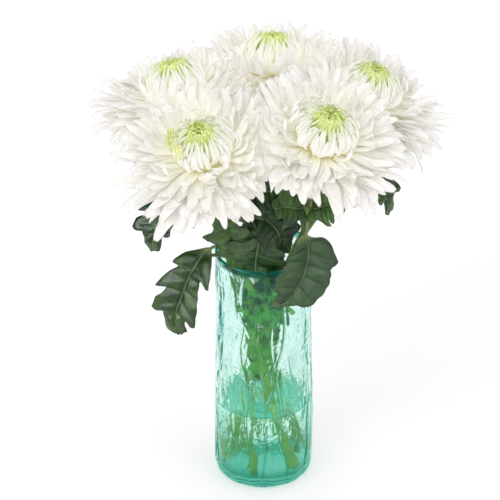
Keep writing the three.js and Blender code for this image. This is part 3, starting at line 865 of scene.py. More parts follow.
def line_frame(line):
    """The way along a line at each of its points, and two ways square to it."""
    tangent = unit(np.gradient(line, axis=0))
    side = unit(np.cross([0.0, 1.0, 0.0], tangent))
    return tangent, side, np.cross(tangent, side)


STEM_SIDES = 20


def tube_rings(line, radii, ribs=0, rib_depth=0.0):
    """Rings round a line, with ribs that run along it."""
    _, side, front = line_frame(line)
    turns = np.linspace(0, 2 * math.pi, STEM_SIDES, endpoint=False)[:, None]
    around = side[:, None] * np.cos(turns) + front[:, None] * np.sin(turns)
    return line[:, None] + radii[:, None, None] * (1 + rib_depth * np.cos(ribs * turns)) * around


STEM_LINES = {plant["name"]: stem_line(plant) for plant in PLANTS}
print("stem lengths, mm:", [int(lengths_along(line)[-1]) for line in STEM_LINES.values()])

# %% [markdown]
# ## Leaves
#
# A chrysanthemum leaf has two pairs of blunt side lobes that point forward and an
# end lobe, with teeth on their ends, pale sunken veins, and a blade that puckers
# between them. A flat outline with a leaf picture on it would be quick, but it looks
# like paper from the side. Here each leaf is a loft with many points across, so the
# veins are real grooves and the edge can ripple.
#
# The tables give the blade's two edges, which are not alike, since a leaf's lobes
# alternate: how far along the midrib, how far out as a share of the width, and how
# far that point of the edge lies ahead of its place on the midrib. Pushing the
# lobes ahead is what makes them point forward.

# %% Leaf tables
LEAF_LEFT = [
    [0, 0.04, 0], [0.06, 0.14, 0.01], [0.13, 0.29, 0.04], [0.19, 0.37, 0.06],
    [0.235, 0.39, 0.075], [0.27, 0.29, 0.03], [0.32, 0.25, -0.03], [0.37, 0.36, -0.01],
    [0.41, 0.51, 0.06], [0.445, 0.58, 0.14], [0.47, 0.44, 0.09], [0.5, 0.27, -0.02],
    [0.55, 0.32, 0.0], [0.61, 0.45, 0.06], [0.655, 0.47, 0.14], [0.69, 0.36, 0.13],
    [0.74, 0.22, 0.04], [0.81, 0.2, 0.05], [0.86, 0.2, 0.08], [0.92, 0.12, 0.045],
    [1, 0.012, 0],
]
LEAF_RIGHT = [
    [0, 0.04, 0], [0.05, 0.18, -0.01], [0.11, 0.37, 0.0], [0.16, 0.54, 0.05],
    [0.2, 0.64, 0.12], [0.235, 0.5, 0.1], [0.28, 0.29, 0.01], [0.33, 0.21, -0.01],
    [0.4, 0.26, 0.01], [0.48, 0.37, 0.03], [0.56, 0.47, 0.07], [0.615, 0.53, 0.13],
    [0.65, 0.43, 0.12], [0.7, 0.26, 0.05], [0.76, 0.2, 0.03], [0.82, 0.22, 0.07],
    [0.87, 0.2, 0.1], [0.94, 0.1, 0.03], [1, 0.012, 0],
]
LEAF_WHOLE = [[0, 0.04], [0.08, 0.26], [0.2, 0.42], [0.4, 0.5], [0.6, 0.47], [0.78, 0.34],
              [0.92, 0.14], [1, 0.012]]
SIDE_VEINS = (0.1, 0.24, 0.36, 0.49, 0.62, 0.75, 0.87)
LEAF_THICKNESS = 0.8
STALK_THICKNESS = 2.6
LEAF_DEFAULTS = dict(stalk=0.18, lobes=0.85, trough=0.2, calm=1.0, dull=0.0, narrows=(0, 0))


def leaf(height, upper, width, *through, **more):
    """What one leaf needs: the height where it leaves its stem, the way its upper
    side faces, its width, and the points that it passes through."""
    return {**LEAF_DEFAULTS, "height": height, "upper": upper, "width": width,
            "through": through, **more}


LEAVES = {
    "front_left": [
        leaf(192, (0, -0.85, 0.5), 58, (-7, -26, 222), (-8, -31, 250), (-6, -42, 274),
             (-1, -50, 298), stalk=0.38, lobes=0.5, tone=0.3, calm=0.45),
        leaf(244, (-0.3, -0.9, 0.4), 48, (-23, -33, 258), (-29, -42, 280), (-38, -47, 312),
             lobes=0.6),
        leaf(296, (0.1, -0.86, 0.5), 42, (-20, -42, 306), (-8, -43, 309), (5, -46, 304),
             (14, -47, 290), (14, -46, 270), lobes=0.7),
        leaf(240, (-0.3, -0.95, 0.1), 25, (-18, -24, 234), (-14, -26, 216), (-12, -26, 192),
             (-12, -24, 168)),
        leaf(256, (0, -0.8, 0.6), 56, (-18, -26, 268), (-2, -18, 280), (16, -14, 284)),
        leaf(312, (0, -0.8, 0.6), 46, (-28, -47, 322), (-8, -48, 334), (14, -46, 341),
             lobes=0.5, tone=-0.6),
    ],
    "front_right": [
        leaf(296, (0.25, -0.85, 0.45), 54, (38, -50, 290), (41, -55, 282), (40, -59, 270),
             (35, -63, 252), (22, -65, 234), (6, -63, 222), stalk=0.08, lobes=0.3,
             trough=0.35, narrows=(0.95, 0.62), tone=0.5, dull=1.0),
        leaf(238, (0, -0.6, 0.8), 30, (18, -29, 246), (6, -33, 250), (-6, -33, 252)),
        leaf(232, (0.2, -0.95, 0.1), 30, (15, -22, 226), (11, -24, 200), (10, -24, 168),
             turned=True),
        leaf(240, (0, -0.98, 0.1), 34, (8, -24, 236), (0, -27, 220), (-3, -27, 192),
             turned=True),
        leaf(316, (0, -0.75, 0.65), 38, (48, -58, 326), (60, -62, 332), (74, -62, 326)),
        leaf(318, (0, -0.85, 0.5), 42, (30, -58, 326), (20, -62, 330), (8, -60, 326)),
    ],
    "back_right": [
        leaf(318, (0.6, -0.3, 0.75), 40, (92, 10, 330), (106, -2, 326), (114, -10, 310),
             (117, -14, 294)),
        leaf(284, (0.4, 0.3, 0.85), 46, (64, 40, 292), (76, 62, 290), (84, 80, 272)),
    ],
    "back_middle": [
        leaf(304, (-0.2, 0.5, 0.85), 48, (-14, 82, 312), (-30, 98, 306), (-40, 108, 286)),
        leaf(276, (0.3, 0.5, 0.8), 46, (16, 66, 284), (34, 86, 282), (44, 100, 264)),
        leaf(172, (0, -0.98, 0.1), 26, (0, -6, 164), (-3, -10, 140), (-4, -12, 108)),
    ],
    "back_left": [
        leaf(238, (-0.35, -0.8, 0.5), 50, (-46, -9, 257), (-58, -17, 251), (-69, -23, 236),
             (-79, -26, 209), (-85, -25, 186), (-80, -23, 168), leaves_upper=(0, 0.1, 1),
             stalk=0.24),
        leaf(304, (-0.5, -0.5, 0.7), 48, (-78, 4, 306), (-92, -12, 298), (-102, -24, 284),
             (-106, -30, 264)),
        leaf(322, (-0.5, 0.4, 0.75), 44, (-82, 50, 328), (-94, 66, 318), (-100, 76, 298)),
    ],
}
print("leaves:", sum(len(leaves) for leaves in LEAVES.values()))

# %% From a leaf's table to its rings
LEAF_STEPS = 96
STALK_STEPS = 10
LEAF_ACROSS = 17
STALK_HALF = 0.03
CROWDING = 1.4
VEIN_WIDTH = 0.16
MIDRIB_WIDTH = 0.6
MIDRIB_DEPTH = 0.9
SIDE_VEIN_SHARE = 0.8
TEETH = 13
TOOTH_DEPTH = 0.09
RIPPLE_HEIGHT = 2.2
PILLOW_HEIGHT = 3.0
CRINKLE_HEIGHT = 0.25
# The rounded rib under the blade.
RIB_HEIGHT, RIB_WIDTH = 1.3, 1.1
# Heights between which the leaves inside the jar turn from shaded to sunlit.
SHADE_LOW, SHADE_HIGH = 175, 238


def inside_jar(points):
    """1 for points well inside the jar, 0 for those outside it or above its rim."""
    below = 1 - ramp(points[..., 2], JAR_HEIGHT - 24, JAR_HEIGHT + 4)
    return below * (np.hypot(points[..., 0], points[..., 1]) < JAR_RADIUS)


def leaf_frame(leaf, line):
    """A leaf's length, its places along the blade, and its midrib with the ways
    along it, sideways and up."""
    start = line[np.argmax(line[:, 2] >= leaf["height"])]
    path = spline([start, *leaf["through"]], 400)
    stalk = leaf["stalk"]
    blade = np.linspace(0, 1, LEAF_STEPS)
    stalk_shares = np.linspace(0, stalk, STALK_STEPS, endpoint=False)
    shares = np.concatenate([stalk_shares, stalk + (1 - stalk) * blade])
    blade = np.concatenate([np.zeros(STALK_STEPS), blade])
    at, every = shares * (len(path) - 1), np.arange(len(path))
    centre, tangent = (
        np.stack([np.interp(at, every, column) for column in points.T], 1)
        for points in (path, unit(np.gradient(path, axis=0)))
    )
    tangent = unit(tangent)
    first, last = unit(leaf.get("leaves_upper", leaf["upper"])), unit(leaf["upper"])
    upper = first + (last - first) * np.minimum(1, shares * 1.6)[:, None]
    side = unit(np.cross(tangent, upper))
    return lengths_along(path)[-1], blade, centre, tangent, side, np.cross(side, tangent)


def leaf_outline(leaf, length, blade, v, random):
    """How far out each point of a blade lies, and how far ahead."""
    halves = (LEAF_LEFT, LEAF_RIGHT) if leaf.get("turned") else (LEAF_RIGHT, LEAF_LEFT)
    edge = np.where((v < 0)[:, None], *(table(half, blade) for half in halves))
    lobes = leaf["lobes"]
    out = edge[..., 0] * lobes + table(LEAF_WHOLE, blade) * (1 - lobes)
    teeth = np.abs(((blade * TEETH + random.uniform(0, 1)) % 1) - 0.4)
    out = out * (1 + TOOTH_DEPTH * (0.3 - teeth) * ramp(blade, 0.08, 0.2))
    out = out * (1 - np.where(v < 0, *leaf["narrows"]) * ramp(blade, 0.4, 1.0))
    out = np.where(blade > 0, out, STALK_HALF) * leaf["width"]
    ahead = edge[..., 1] * (0.4 + 0.6 * lobes) + 0.03 * (1 - lobes)
    return out, ahead * length * (1 - leaf["stalk"]) * np.abs(v) ** 1.3 * (blade > 0)


def leaf_relief(leaf, blade, v, midrib, random):
    """Grooves at the veins, pillows between them and a rippled edge, in millimetres
    for a leaf 50 wide, and where the side veins are."""
    size = np.abs(v)
    spacing = np.interp(blade - 0.02 * np.sign(v), SIDE_VEINS, np.arange(len(SIDE_VEINS)))
    from_vein = np.abs(spacing - np.round(spacing)) * 2
    side_vein = np.exp(-((from_vein / VEIN_WIDTH) ** 2))
    side_vein = side_vein * ramp(size, 0.02, 0.1) * (1 - ramp(size, 0.75, 0.97))
    vein = np.maximum(midrib, SIDE_VEIN_SHARE * side_vein)
    pillow = 1 - (1 - np.minimum(from_vein * 1.3, 1)) ** 2
    pillow = pillow * np.sin(math.pi * np.minimum(size * 1.15, 1)) ** 0.7
    ripple = random.uniform(0.7, 1.2)
    curl = ripple * np.sin(blade * 15 + 2.6 * np.sign(v) + random.uniform(0, 6))
    crinkle = CRINKLE_HEIGHT * np.sin(blade * 71 + 5 * v) * np.sin(v * 13) * (1 - vein)
    relief = leaf["calm"] * (RIPPLE_HEIGHT * curl * size**2.2 + PILLOW_HEIGHT * pillow)
    return relief + crinkle - MIDRIB_DEPTH * midrib, side_vein


def leaf_rings(leaf, line, seed):
    """Rings and painted values of one leaf."""
    random = np.random.default_rng(seed)
    length, blade, *ways = leaf_frame(leaf, line)
    blade = blade[:, None]
    centre, tangent, side, up = (way[:, None] for way in ways)
    # Points across stand closer near the midrib, which keeps it thin.
    v = np.linspace(-1, 1, LEAF_ACROSS)
    v = np.sign(v) * np.abs(v) ** CROWDING
    out, ahead = leaf_outline(leaf, length, blade, v, random)
    on_blade = ramp(blade, 0.02, 0.12)
    midrib = np.exp(-((v * out / MIDRIB_WIDTH) ** 2))
    relief, side_vein = leaf_relief(leaf, blade, v, midrib, random)
    lift = leaf["trough"] * out * np.abs(v) + on_blade * leaf["width"] / 50 * relief
    thick = STALK_THICKNESS + (LEAF_THICKNESS - STALK_THICKNESS) * ramp(blade, 0.0, 0.1)
    shell = 0.5 * thick * (1 - 0.45 * v**2)
    rib = RIB_HEIGHT * np.exp(-((v * out / RIB_WIDTH) ** 2)) * on_blade * (1.1 - blade)
    middle = centre + side * (out * v)[..., None] + tangent * ahead[..., None]
    skins = [middle + up * height[..., None] for height in (lift + shell, lift - shell - rib)]
    rings = np.concatenate([skins[0], skins[1][:, ::-1]], 1)
    paint = np.maximum(midrib, 0.4 * side_vein**2)
    paint = np.concatenate([paint, paint[:, ::-1]], 1)
    values = {
        "vein": np.maximum(paint * on_blade, 1 - on_blade),
        "inside": inside_jar(rings),
        "under": np.repeat([0.0, 1.0], LEAF_ACROSS),
        "tone": leaf.get("tone", random.uniform(-1, 1)),
        "dull": leaf["dull"],
        "deep": 1 - ramp(rings[..., 2], SHADE_LOW, SHADE_HIGH),
    }
    return rings[None], values


print("points in a leaf:", (STALK_STEPS + LEAF_STEPS) * 2 * LEAF_ACROSS)

# %% [markdown]
# ## Foliage colours
#
# Leaves are a deep, cool green on top with a waxy shine, paler and duller beneath,
# with veins like pale threads. Stems are a lighter, yellower green, darker in
# places. Inside the jar both are painted brighter green in patches, and the leaves
# darker near the top: painted light and shade for the light that comes through the
# glass. All of it comes from values painted on the lofts, so the colour always sits
# on the vein or rib that it belongs to.

# %% Leaf and stem materials
def make_leaf_material():
    material, tree, shader = new_material("leaf")
    vein, under, tone, dull = painted(tree, "vein", "under", "tone", "dull")
    patch = patches(tree, 90.0, 1.6, tone, 0.3)
    green = colour_ramp(tree, patch, [
        (0.0, (0.004, 0.019, 0.004)), (0.5, (0.014, 0.052, 0.010)), (1.0, (0.060, 0.135, 0.024)),
    ])
    green = mix_colour(tree, times(tree, dull, 0.5), green, (0.042, 0.082, 0.046))
    # Inside the jar the leaves are painted sunlit green in patches, and darker near the top under
    # the lip: painted light and shade for light that comes through the glass.
    deep = math_node(tree, "SUBTRACT", painted(tree, "deep"), 0.55)
    light_patches = plus(tree, mottle(tree, 110.0, 5.0), deep, clamp=True)
    sunlit = mix_colour(tree, light_patches, (0.001, 0.034, 0.009), (0.085, 0.43, 0.035))
    sunk = times(tree, painted(tree, "inside"), 0.85)
    green = mix_colour(tree, sunk, green, sunlit)
    veined = mix_colour(tree, math_node(tree, "POWER", vein, 2.0), green, (0.24, 0.33, 0.14))
    dry = times(tree, under, math_node(tree, "SUBTRACT", 0.6, times(tree, sunk, 0.6)))
    rough = plus(tree, times(tree, under, 0.25), times(tree, patch, 0.1))
    rough = plus(tree, rough, times(tree, dull, 0.22))
    grain = add_node(tree, "TexVoronoi", {"Scale": 700.0}).outputs["Distance"]
    feed(tree, shader, {
        "Base Color": mix_colour(tree, dry, veined, (0.13, 0.20, 0.10)),
        "Roughness": plus(tree, rough, 0.17),
        "Specular IOR Level": 0.42,
        "Normal": bump(tree, grain, 0.0004, 0.35),
    })
    return material


def make_stem_material():
    material, tree, shader = new_material("stem")
    along, tone, inside = painted(tree, "along", "tone", "inside")
    patch = patches(tree, 60.0, 1.5, tone, 0.2)
    green = colour_ramp(tree, patch, [
        (0.0, (0.055, 0.12, 0.022)), (0.5, (0.12, 0.21, 0.042)), (1.0, (0.23, 0.31, 0.075)),
    ])
    # Inside the jar the stem is painted sunlit green in patches: painted light for light that comes
    # through the glass.
    sunlit = mix_colour(tree, patch, (0.085, 0.34, 0.035), (0.27, 0.57, 0.12))
    green = mix_colour(tree, times(tree, inside, 0.8), green, sunlit)
    feed(tree, shader, {
        "Base Color": mix_colour(tree, times(tree, along, 0.25), green, (0.22, 0.30, 0.10)),
        "Roughness": 0.45,
        "Specular IOR Level": 0.3,
        "Normal": fine_lines(tree, 44.0, 0.0002, 0.6),
    })
    return material


LEAF = make_leaf_material()
STEM = make_stem_material()
print("foliage materials:", LEAF.name, "and", STEM.name)

# %% Stems with their leaves, cups and hairs
# The cup under a head: heights from its seat, and radii.
CUP = [(-14, 3.3), (-10, 4.2), (-7, 6.6), (-4, 8.4), (-1.6, 9.2), (-0.35, 9.0)]
BRACT_FORM = {
    **FLORET_FORM,
    "root": [[0, 4.5, -9], [1, 8.0, -4.5]],
    "bend": [[0, 9.5, -7.5], [1, 13.0, -3.5]],
    "tip": [[0, 12.5, -4.0], [1, 17.0, -1.0]],
    "width": [[0, 3.2], [1, 3.6]],
    "hollow": [[0, 0.4], [1, 0.4]],
    "hook": [[0, 0.5], [1, 0.5]],
    "longer": 0.08, "lift": 0.4, "sway": 0.4, "twist": 0.1,
    "narrow": 0.9, "taper": 0.9, "thick": 0.7,
    "steps": np.array([0, 0.35, 0.7, 0.9, 1.0]),
}
BRACT_COUNT = 34
STEM_SEED = 900
LEAF_SEED_STEP = 40
HAIR_COUNT = 520


def hair_rings(line, radii, random):
    """Short soft hairs on the part of a stem above the water."""
    low = int(np.argmax(line[:, 2] > WATER_LEVEL + 6))
    at = random.integers(low, len(line) - 12, HAIR_COUNT)
    tangent, side, front = (way[at] for way in line_frame(line))
    turn = random.uniform(0, 2 * math.pi, (HAIR_COUNT, 1))
    out = side * np.cos(turn) + front * np.sin(turn)
    reach = random.uniform(0.7, 1.4, (HAIR_COUNT, 1))
    slip = random.uniform(-0.7, 0.7, (HAIR_COUNT, 1))
    root = line[at] + out * (radii[at][:, None] - 0.2) + tangent * slip
    tip = root + (out + 0.4 * tangent) * reach
    across = np.cross(out, tangent)
    corners = [across + tangent, -across + tangent, -across - tangent, across - tangent]
    corners = np.stack(corners, 1)
    rings = [middle[:, None] + half * corners for middle, half in ((root, 0.07), (tip, 0.015))]
    return np.stack(rings, 1)


def grow_stem(plant, index):
    """The ribbed stem with its cup, bracts and hairs."""
    random = np.random.default_rng(STEM_SEED + index)
    line = STEM_LINES[plant["name"]]
    share = np.linspace(0, 1, len(line))
    radii = STEM_RADIUS * (1.04 - 0.16 * share) + 0.12 * np.sin(share * 60 + index)
    stem = tube_rings(line, radii, ribs=7, rib_depth=0.05)
    stem[0, :, 2] = JAR_FLOOR + SEAT_GAP
    heights, cup_radii = np.array(CUP).T
    cup = tube_rings(plant["seat"] + heights[:, None] * plant["axis"], cup_radii)
    rings = np.concatenate([stem[:-2], cup])
    values = {
        "along": np.linspace(0, 1, len(rings))[:, None],
        "across": np.linspace(-1, 1, STEM_SIDES),
        "inside": inside_jar(rings),
        "tone": random.uniform(-1, 1),
    }
    body = Body()
    body.add(rings[None], values)
    places = np.linspace(0, 1, BRACT_COUNT)
    draws = random.uniform(-1, 1, (BRACT_COUNT, DRAWS))
    turns = np.arange(BRACT_COUNT) * GOLDEN_ANGLE
    body.add(*straps(BRACT_FORM, plant, places, turns, draws))
    body.add(hair_rings(line, radii, random), {"along": 1.0, "tone": 1.0})
    return body


for index, plant in enumerate(PLANTS):
    name = plant["name"]
    grow_stem(plant, index).build("stalk_" + name, STEM, "stem_" + name, "foliage")
    leaves = Body()
    for number, one in enumerate(LEAVES[name]):
        leaves.add(*leaf_rings(one, STEM_LINES[name], LEAF_SEED_STEP * index + number))
    leaves.build("leaves_" + name, LEAF, "stem_" + name, "foliage")

# %% [markdown]
# ## The glass jar
#
# The jar is pressed glass with a relief like tree bark: upright bars that wander,
# with creases between them and short slanting nicks, dying out at the smooth lip
# and the foot. Bump alone can't bend light the way thick glass does, because a ray
# passes through two real surfaces. So the creases are in the mesh: every point of
# the outer wall moves in or out by the depth of the relief there.

# %% The bark relief
BAR_COUNT = 12
NICK_COUNT = 150
BARK_SEED = 12
CREASE_DEPTH = 1.4
FOOT_WAVE = 0.75
NICK_WIDTH = 0.85
bark_random = np.random.default_rng(BARK_SEED)
BAR_TURNS = np.arange(BAR_COUNT) + bark_random.uniform(-0.28, 0.28, BAR_COUNT)
BAR_TURNS = BAR_TURNS * 2 * math.pi / BAR_COUNT
BAR_PHASES = bark_random.uniform(0, 2 * math.pi, (BAR_COUNT, 4))
# A nick's turn, height, length, slant and depth.
NICK_RANGES = [(-math.pi, math.pi), (20, JAR_HEIGHT - 25), (5, 13), (-0.55, 0.55), (0.35, 1.0)]
NICKS = np.stack([bark_random.uniform(*limits, NICK_COUNT) for limits in NICK_RANGES], 1)
# How a bar wanders with height: the millimetres of a wave, and its swing in radians.
WANDERS = [(34, 0.09), (12, 0.045)]
# Soft swells round the jar: how many, how they shift with height, and how high.
SWELLS = [(5, 1 / 40, 0.35), (11, -1 / 17, 0.22), (23, 1 / 7, 0.12)]


def distance_round(turn, angle):
    """How far round the wall points lie from an angle, in millimetres."""
    return np.angle(np.exp(1j * (turn - angle))) * JAR_RADIUS


def bark(turn, height):
    """The relief in millimetres, and how deep in a crease each point lies."""
    crease = np.zeros(np.broadcast(turn, height).shape)
    for angle, phase in zip(BAR_TURNS, BAR_PHASES):
        wander = sum(
            swing * np.sin(height / long + shift) for (long, swing), shift in zip(WANDERS, phase)
        )
        depth = 0.72 + 0.28 * np.sin(height / 23 + phase[2])
        crease = np.maximum(crease, depth * np.exp(-(distance_round(turn, angle + wander) ** 2)))
    for angle, level, long, slant, depth in NICKS:
        rise = height - level
        off = distance_round(turn, angle) - slant * rise
        nick = depth * np.exp(-((off / NICK_WIDTH) ** 2)) * np.exp(-((rise / long) ** 4))
        crease = np.maximum(crease, nick)
    swell = sum(high * np.sin(count * turn + shift * height) for count, shift, high in SWELLS)
    patchy = 0.12 * (0.6 + 0.4 * np.sin(4 * turn + height / 31))
    grain = 37 * turn + 1.4 * np.sin(height / 19) + 2.2 * np.sin(3 * turn)
    swell = swell + patchy * np.sin(grain)
    swell = swell + 0.04 * np.sin(61 * turn + 2.0 * np.sin(height / 11))
    fade = ramp(height, 1, 7) * (1 - ramp(height, JAR_HEIGHT - 14, JAR_HEIGHT - 6))
    # The foot has level waves instead of bars.
    wave = np.sin(1.5 * height + 1.6 * np.sin(5 * turn) + 0.8 * np.sin(13 * turn))
    wave = wave * ramp(height, 1, 4) * (1 - ramp(height, 9, 18))
    relief = (swell - CREASE_DEPTH * crease + 0.45) * fade + FOOT_WAVE * wave
    # The second value marks where the glass is painted dark teal: in the creases and in the troughs
    # of the foot's waves.
    return relief, np.maximum(crease * fade, np.clip(-2.6 * wave, 0, 1))


print("bars of bark:", BAR_COUNT, "nicks:", NICK_COUNT)

# %% The jar's mesh
JAR_SIDES = 360
CORNER_RADIUS = 5
# How far inside the full radius the outer wall stands, at each height.
WALL_INSET = [[0, 9], [1, 6.6], [2.5, 4.6], [4.5, 2.8], [7, 1.5], [11, 0.4], [16, 0], [70, 0],
              [180, 2], [JAR_HEIGHT - 14, 1.6], [JAR_HEIGHT, 0.4]]
# The rounded lip: how far in, and how far below the top.
LIP = [(0.42, 3), (0.6, 1.9), (1.05, 0.9), (1.7, 0.25), (2.3, 0), (2.9, 0.25), (3.45, 0.9),
       (3.75, 2)]
INNER_HEIGHTS = (240, 225, 205, 180, 150, 120, 95, 70, 50, 36, 26, 21)


def outer_radius(height):
    """The wall's distance from the axis outside, before its relief."""
    return JAR_RADIUS - table(WALL_INSET, height)


def inner_radius(height):
    return outer_radius(np.maximum(height, 26)) - JAR_WALL


def floor_corner(angles, overlap=0.0):
    """The rounded corner of the jar's floor, as [radius, height]."""
    radius, height = inner_radius(0) + overlap, JAR_FLOOR - overlap
    return [
        (radius - CORNER_RADIUS * (1 - math.cos(a)), height + CORNER_RADIUS * (1 - math.sin(a)))
        for a in angles
    ]


def make_jar():
    """The glass, as rings from the foot up the outside, over the lip and down inside."""
    foot = [(0.2, 0), ((JAR_RADIUS - 9) * 0.5, 0)]
    low, high = np.linspace(1, 20, 20), np.linspace(21.8, JAR_HEIGHT - 4, 120)
    heights = np.concatenate([[0, 0.3], low, high])
    outside = list(zip(outer_radius(heights), heights))
    lip = [(JAR_RADIUS - inset, JAR_HEIGHT - drop) for inset, drop in LIP]
    inside = [(inner_radius(height), height) for height in INNER_HEIGHTS]
    corner = floor_corner(np.linspace(0.05, math.pi / 2, 8))
    floor = [(inner_radius(0) * share, JAR_FLOOR) for share in (0.6, 0.3, 0.004)]
    profile = np.array(foot + outside + lip + inside + corner + floor)
    turns = np.linspace(-math.pi, math.pi, JAR_SIDES, endpoint=False)
    radius, height = (np.repeat(column[:, None], JAR_SIDES, 1) for column in profile.T)
    crease = np.zeros_like(radius)
    wall = slice(len(foot), len(foot) + len(outside))
    relief, crease[wall] = bark(turns, height[wall])
    radius[wall] += relief
    rings = np.stack([radius * np.cos(turns), radius * np.sin(turns), height], -1)
    body = Body()
    body.add(rings[None], {"crease": crease, "level": height / JAR_HEIGHT})
    return body


print("points round the jar:", JAR_SIDES)

# %% [markdown]
# ## Glass and water
#
# Thin glass looks nearly clear, and thick glass shows its colour: the lip, the foot
# and the creases are deep teal while the wall is pale mint. A volume that absorbs
# a little red over every millimetre gives most of that for free, because light
# that travels further through the glass loses more. The creases, lip and foot are
# also painted darker teal, as painted shade, and give off a faint painted teal glow,
# where a render's few bounces would leave them too pale.
#
# Lamps can't shine through refracting glass without many wasted rays, so for lamp
# rays and for light that bounces off matt things the glass counts as see-through.
# The water overlaps the glass by a hair: with a gap there, light would bounce off
# an air film that isn't in a real jar.

# %% Glass and water materials
OPEN_WAY = (0.93, 0.93, 0.93)


def clear_material(name, ior, absorb, density):
    """A clear shader that lets lamp light pass, with an absorbing volume inside."""
    material, tree, shader = new_material(name)
    feed(tree, shader, {
        "Roughness": 0.0, "IOR": ior, "Transmission Weight": 1.0, "Emission Strength": 1.0,
    })
    rays = add_node(tree, "LightPath").outputs
    soft = plus(tree, rays["Is Shadow Ray"], rays["Is Diffuse Ray"], clamp=True)
    open_way = add_node(tree, "BsdfTransparent", {"Color": OPEN_WAY}).outputs[0]
    volume = add_node(tree, "VolumeAbsorption", {"Color": absorb, "Density": density})
    feed(tree, tree.nodes["Material Output"], {
        "Surface": mix_shaders(tree, soft, shader.outputs["BSDF"], open_way),
        "Volume": volume.outputs["Volume"],
    })
    return material, tree, shader


def make_glass():
    material, tree, shader = clear_material("aqua_glass", 1.5, (0.05, 0.90, 0.76), 19.0)
    crease, level = painted(tree, "crease", "level")
    lip = past(tree, level, 0.965, 80.0)
    foot = past(tree, level, 0.105, -20.0)
    # The creases are painted dark teal and the lip deeper teal: painted shade for light that the
    # grooves bend away and the thick glass dims.
    lines = math_node(tree, "POWER", crease, 1.2)
    tint = mix_colour(tree, lines, (0.912, 0.985, 0.965), (0.02, 0.40, 0.34))
    tint = mix_colour(tree, times(tree, mottle(tree, 160.0), 0.12), tint, (0.66, 0.95, 0.86))
    tint = mix_colour(tree, times(tree, lip, 0.92), tint, (0.01, 0.33, 0.27))
    # The foot is painted dark teal, darkest in its creases: painted shade for the thick glass
    # floor.
    low = mix_colour(tree, crease, (0.024, 0.42, 0.30), (0.001, 0.05, 0.035))
    tint = mix_colour(tree, times(tree, foot, 0.975), tint, low)
    # Painted glow: faint teal light from the creases, the lip and the foot.
    deep = math_node(tree, "MAXIMUM", crease, times(tree, lip, 0.3))
    glow = mix_colour(tree, deep, (0.0, 0.003, 0.002), (0.001, 0.060, 0.045))
    glow = mix_colour(tree, foot, glow, (0.0, 0.016, 0.010))
    # Glass seen at a grazing angle is thick along the ray, so it shows more teal: a painted teal
    # glow at grazing angles stands in for it.
    weight = add_node(tree, "LayerWeight", {"Blend": 0.5}).outputs["Facing"]
    glow = mix_colour(tree, math_node(tree, "POWER", weight, 3.0), glow, (0.0, 0.13, 0.105))
    feed(tree, shader, {
        "Base Color": tint,
        "Emission Color": mix_colour(tree, lip, glow, (0.0, 0.016, 0.012)),
        "Specular Tint": (0.22, 0.42, 0.36),
        "Normal": bump(tree, mottle(tree, 220.0), 0.0012, 0.35),
    })
    return material


def make_water_material():
    material, tree, shader = clear_material("water", 1.33, (0.3, 0.97, 0.72), 3.0)
    meniscus, surface = painted(tree, "meniscus", "surface")
    haze = times(tree, mottle(tree, 60.0), 0.1)
    tint = mix_colour(tree, haze, (0.985, 1.0, 0.99), (0.86, 0.97, 0.9))
    # Painted glints: small spots of teal light given off at the water's surface.
    glint_spots = math_node(tree, "MAXIMUM", mottle(tree, 260.0, 2.4), 0.0)
    shine = times(tree, glint_spots, surface)
    feed(tree, shader, {
        # The raised edge at the glass is painted dark teal: painted shade for the water line.
        "Base Color": mix_colour(tree, meniscus, tint, (0.0, 0.14, 0.11)),
        "Emission Color": mix_colour(tree, shine, (0.0, 0.002, 0.0), (0.10, 0.25, 0.19)),
        "Normal": bump(tree, mottle(tree, 75.0), 0.0035, 0.6),
    })
    return material


GLASS = make_glass()
WATER = make_water_material()
make_jar().build("glass_jar", GLASS, "jar", "glass")

# %% The water
WATER_SIDES = 144
OVERLAP = 0.2
# The edge that clings to the glass: how far in from it, and how high.
WATER_EDGE = [(0.0, 1.6), (0.5, 0.9), (1.2, 0.45), (2.4, 0.15), (4.5, 0.0)]


def make_water():
    """Still water with a raised edge where it clings to the glass."""
    low = JAR_FLOOR - OVERLAP
    bottom = [(0.2, low), (inner_radius(0) * 0.5, low)]
    corner = floor_corner(np.linspace(math.pi / 2, 0.05, 7), OVERLAP)
    wall = [(inner_radius(h) + OVERLAP, h) for h in (26, 40, 55, 70, WATER_LEVEL + 0.3)]
    rim = inner_radius(WATER_LEVEL) + OVERLAP
    edge = [(rim - inset, WATER_LEVEL + rise) for inset, rise in WATER_EDGE]
    top = [(radius, WATER_LEVEL) for radius in (30, 15, 0.2)]
    rings = turned(bottom + corner + wall + edge + top, WATER_SIDES)
    rise = rings[..., 2] - WATER_LEVEL
    body = Body()
    # The raised edge carries the painted shade of the water line, and the surface the painted
    # glints.
    body.add(rings[None], {"surface": rise > -1, "meniscus": ramp(rise, 0.4, 1.0)})
    return body


make_water().build("still_water", WATER, "water", "water")

# %% [markdown]
# ## Floor and light
#
# The photograph is a studio picture on seamless white, lit so evenly that only a
# faint shadow shows beside the foot. A white floor under a white world gives that
# wrap-around light, one broad soft lamp from the upper left gives the petals their
# form, and a weaker one fills from the right. An even white world would lay a grey
# veil over every shiny leaf, so what the leaves and the glass mirror is darker, with
# a few windows of light in it, the brightest at the upper left.

# %% Floor and lamps
FLOOR_SIZE = 12.0
AIM = (0.0, 0.0, 0.25)
WHITE = (1.0, 1.0, 1.0)


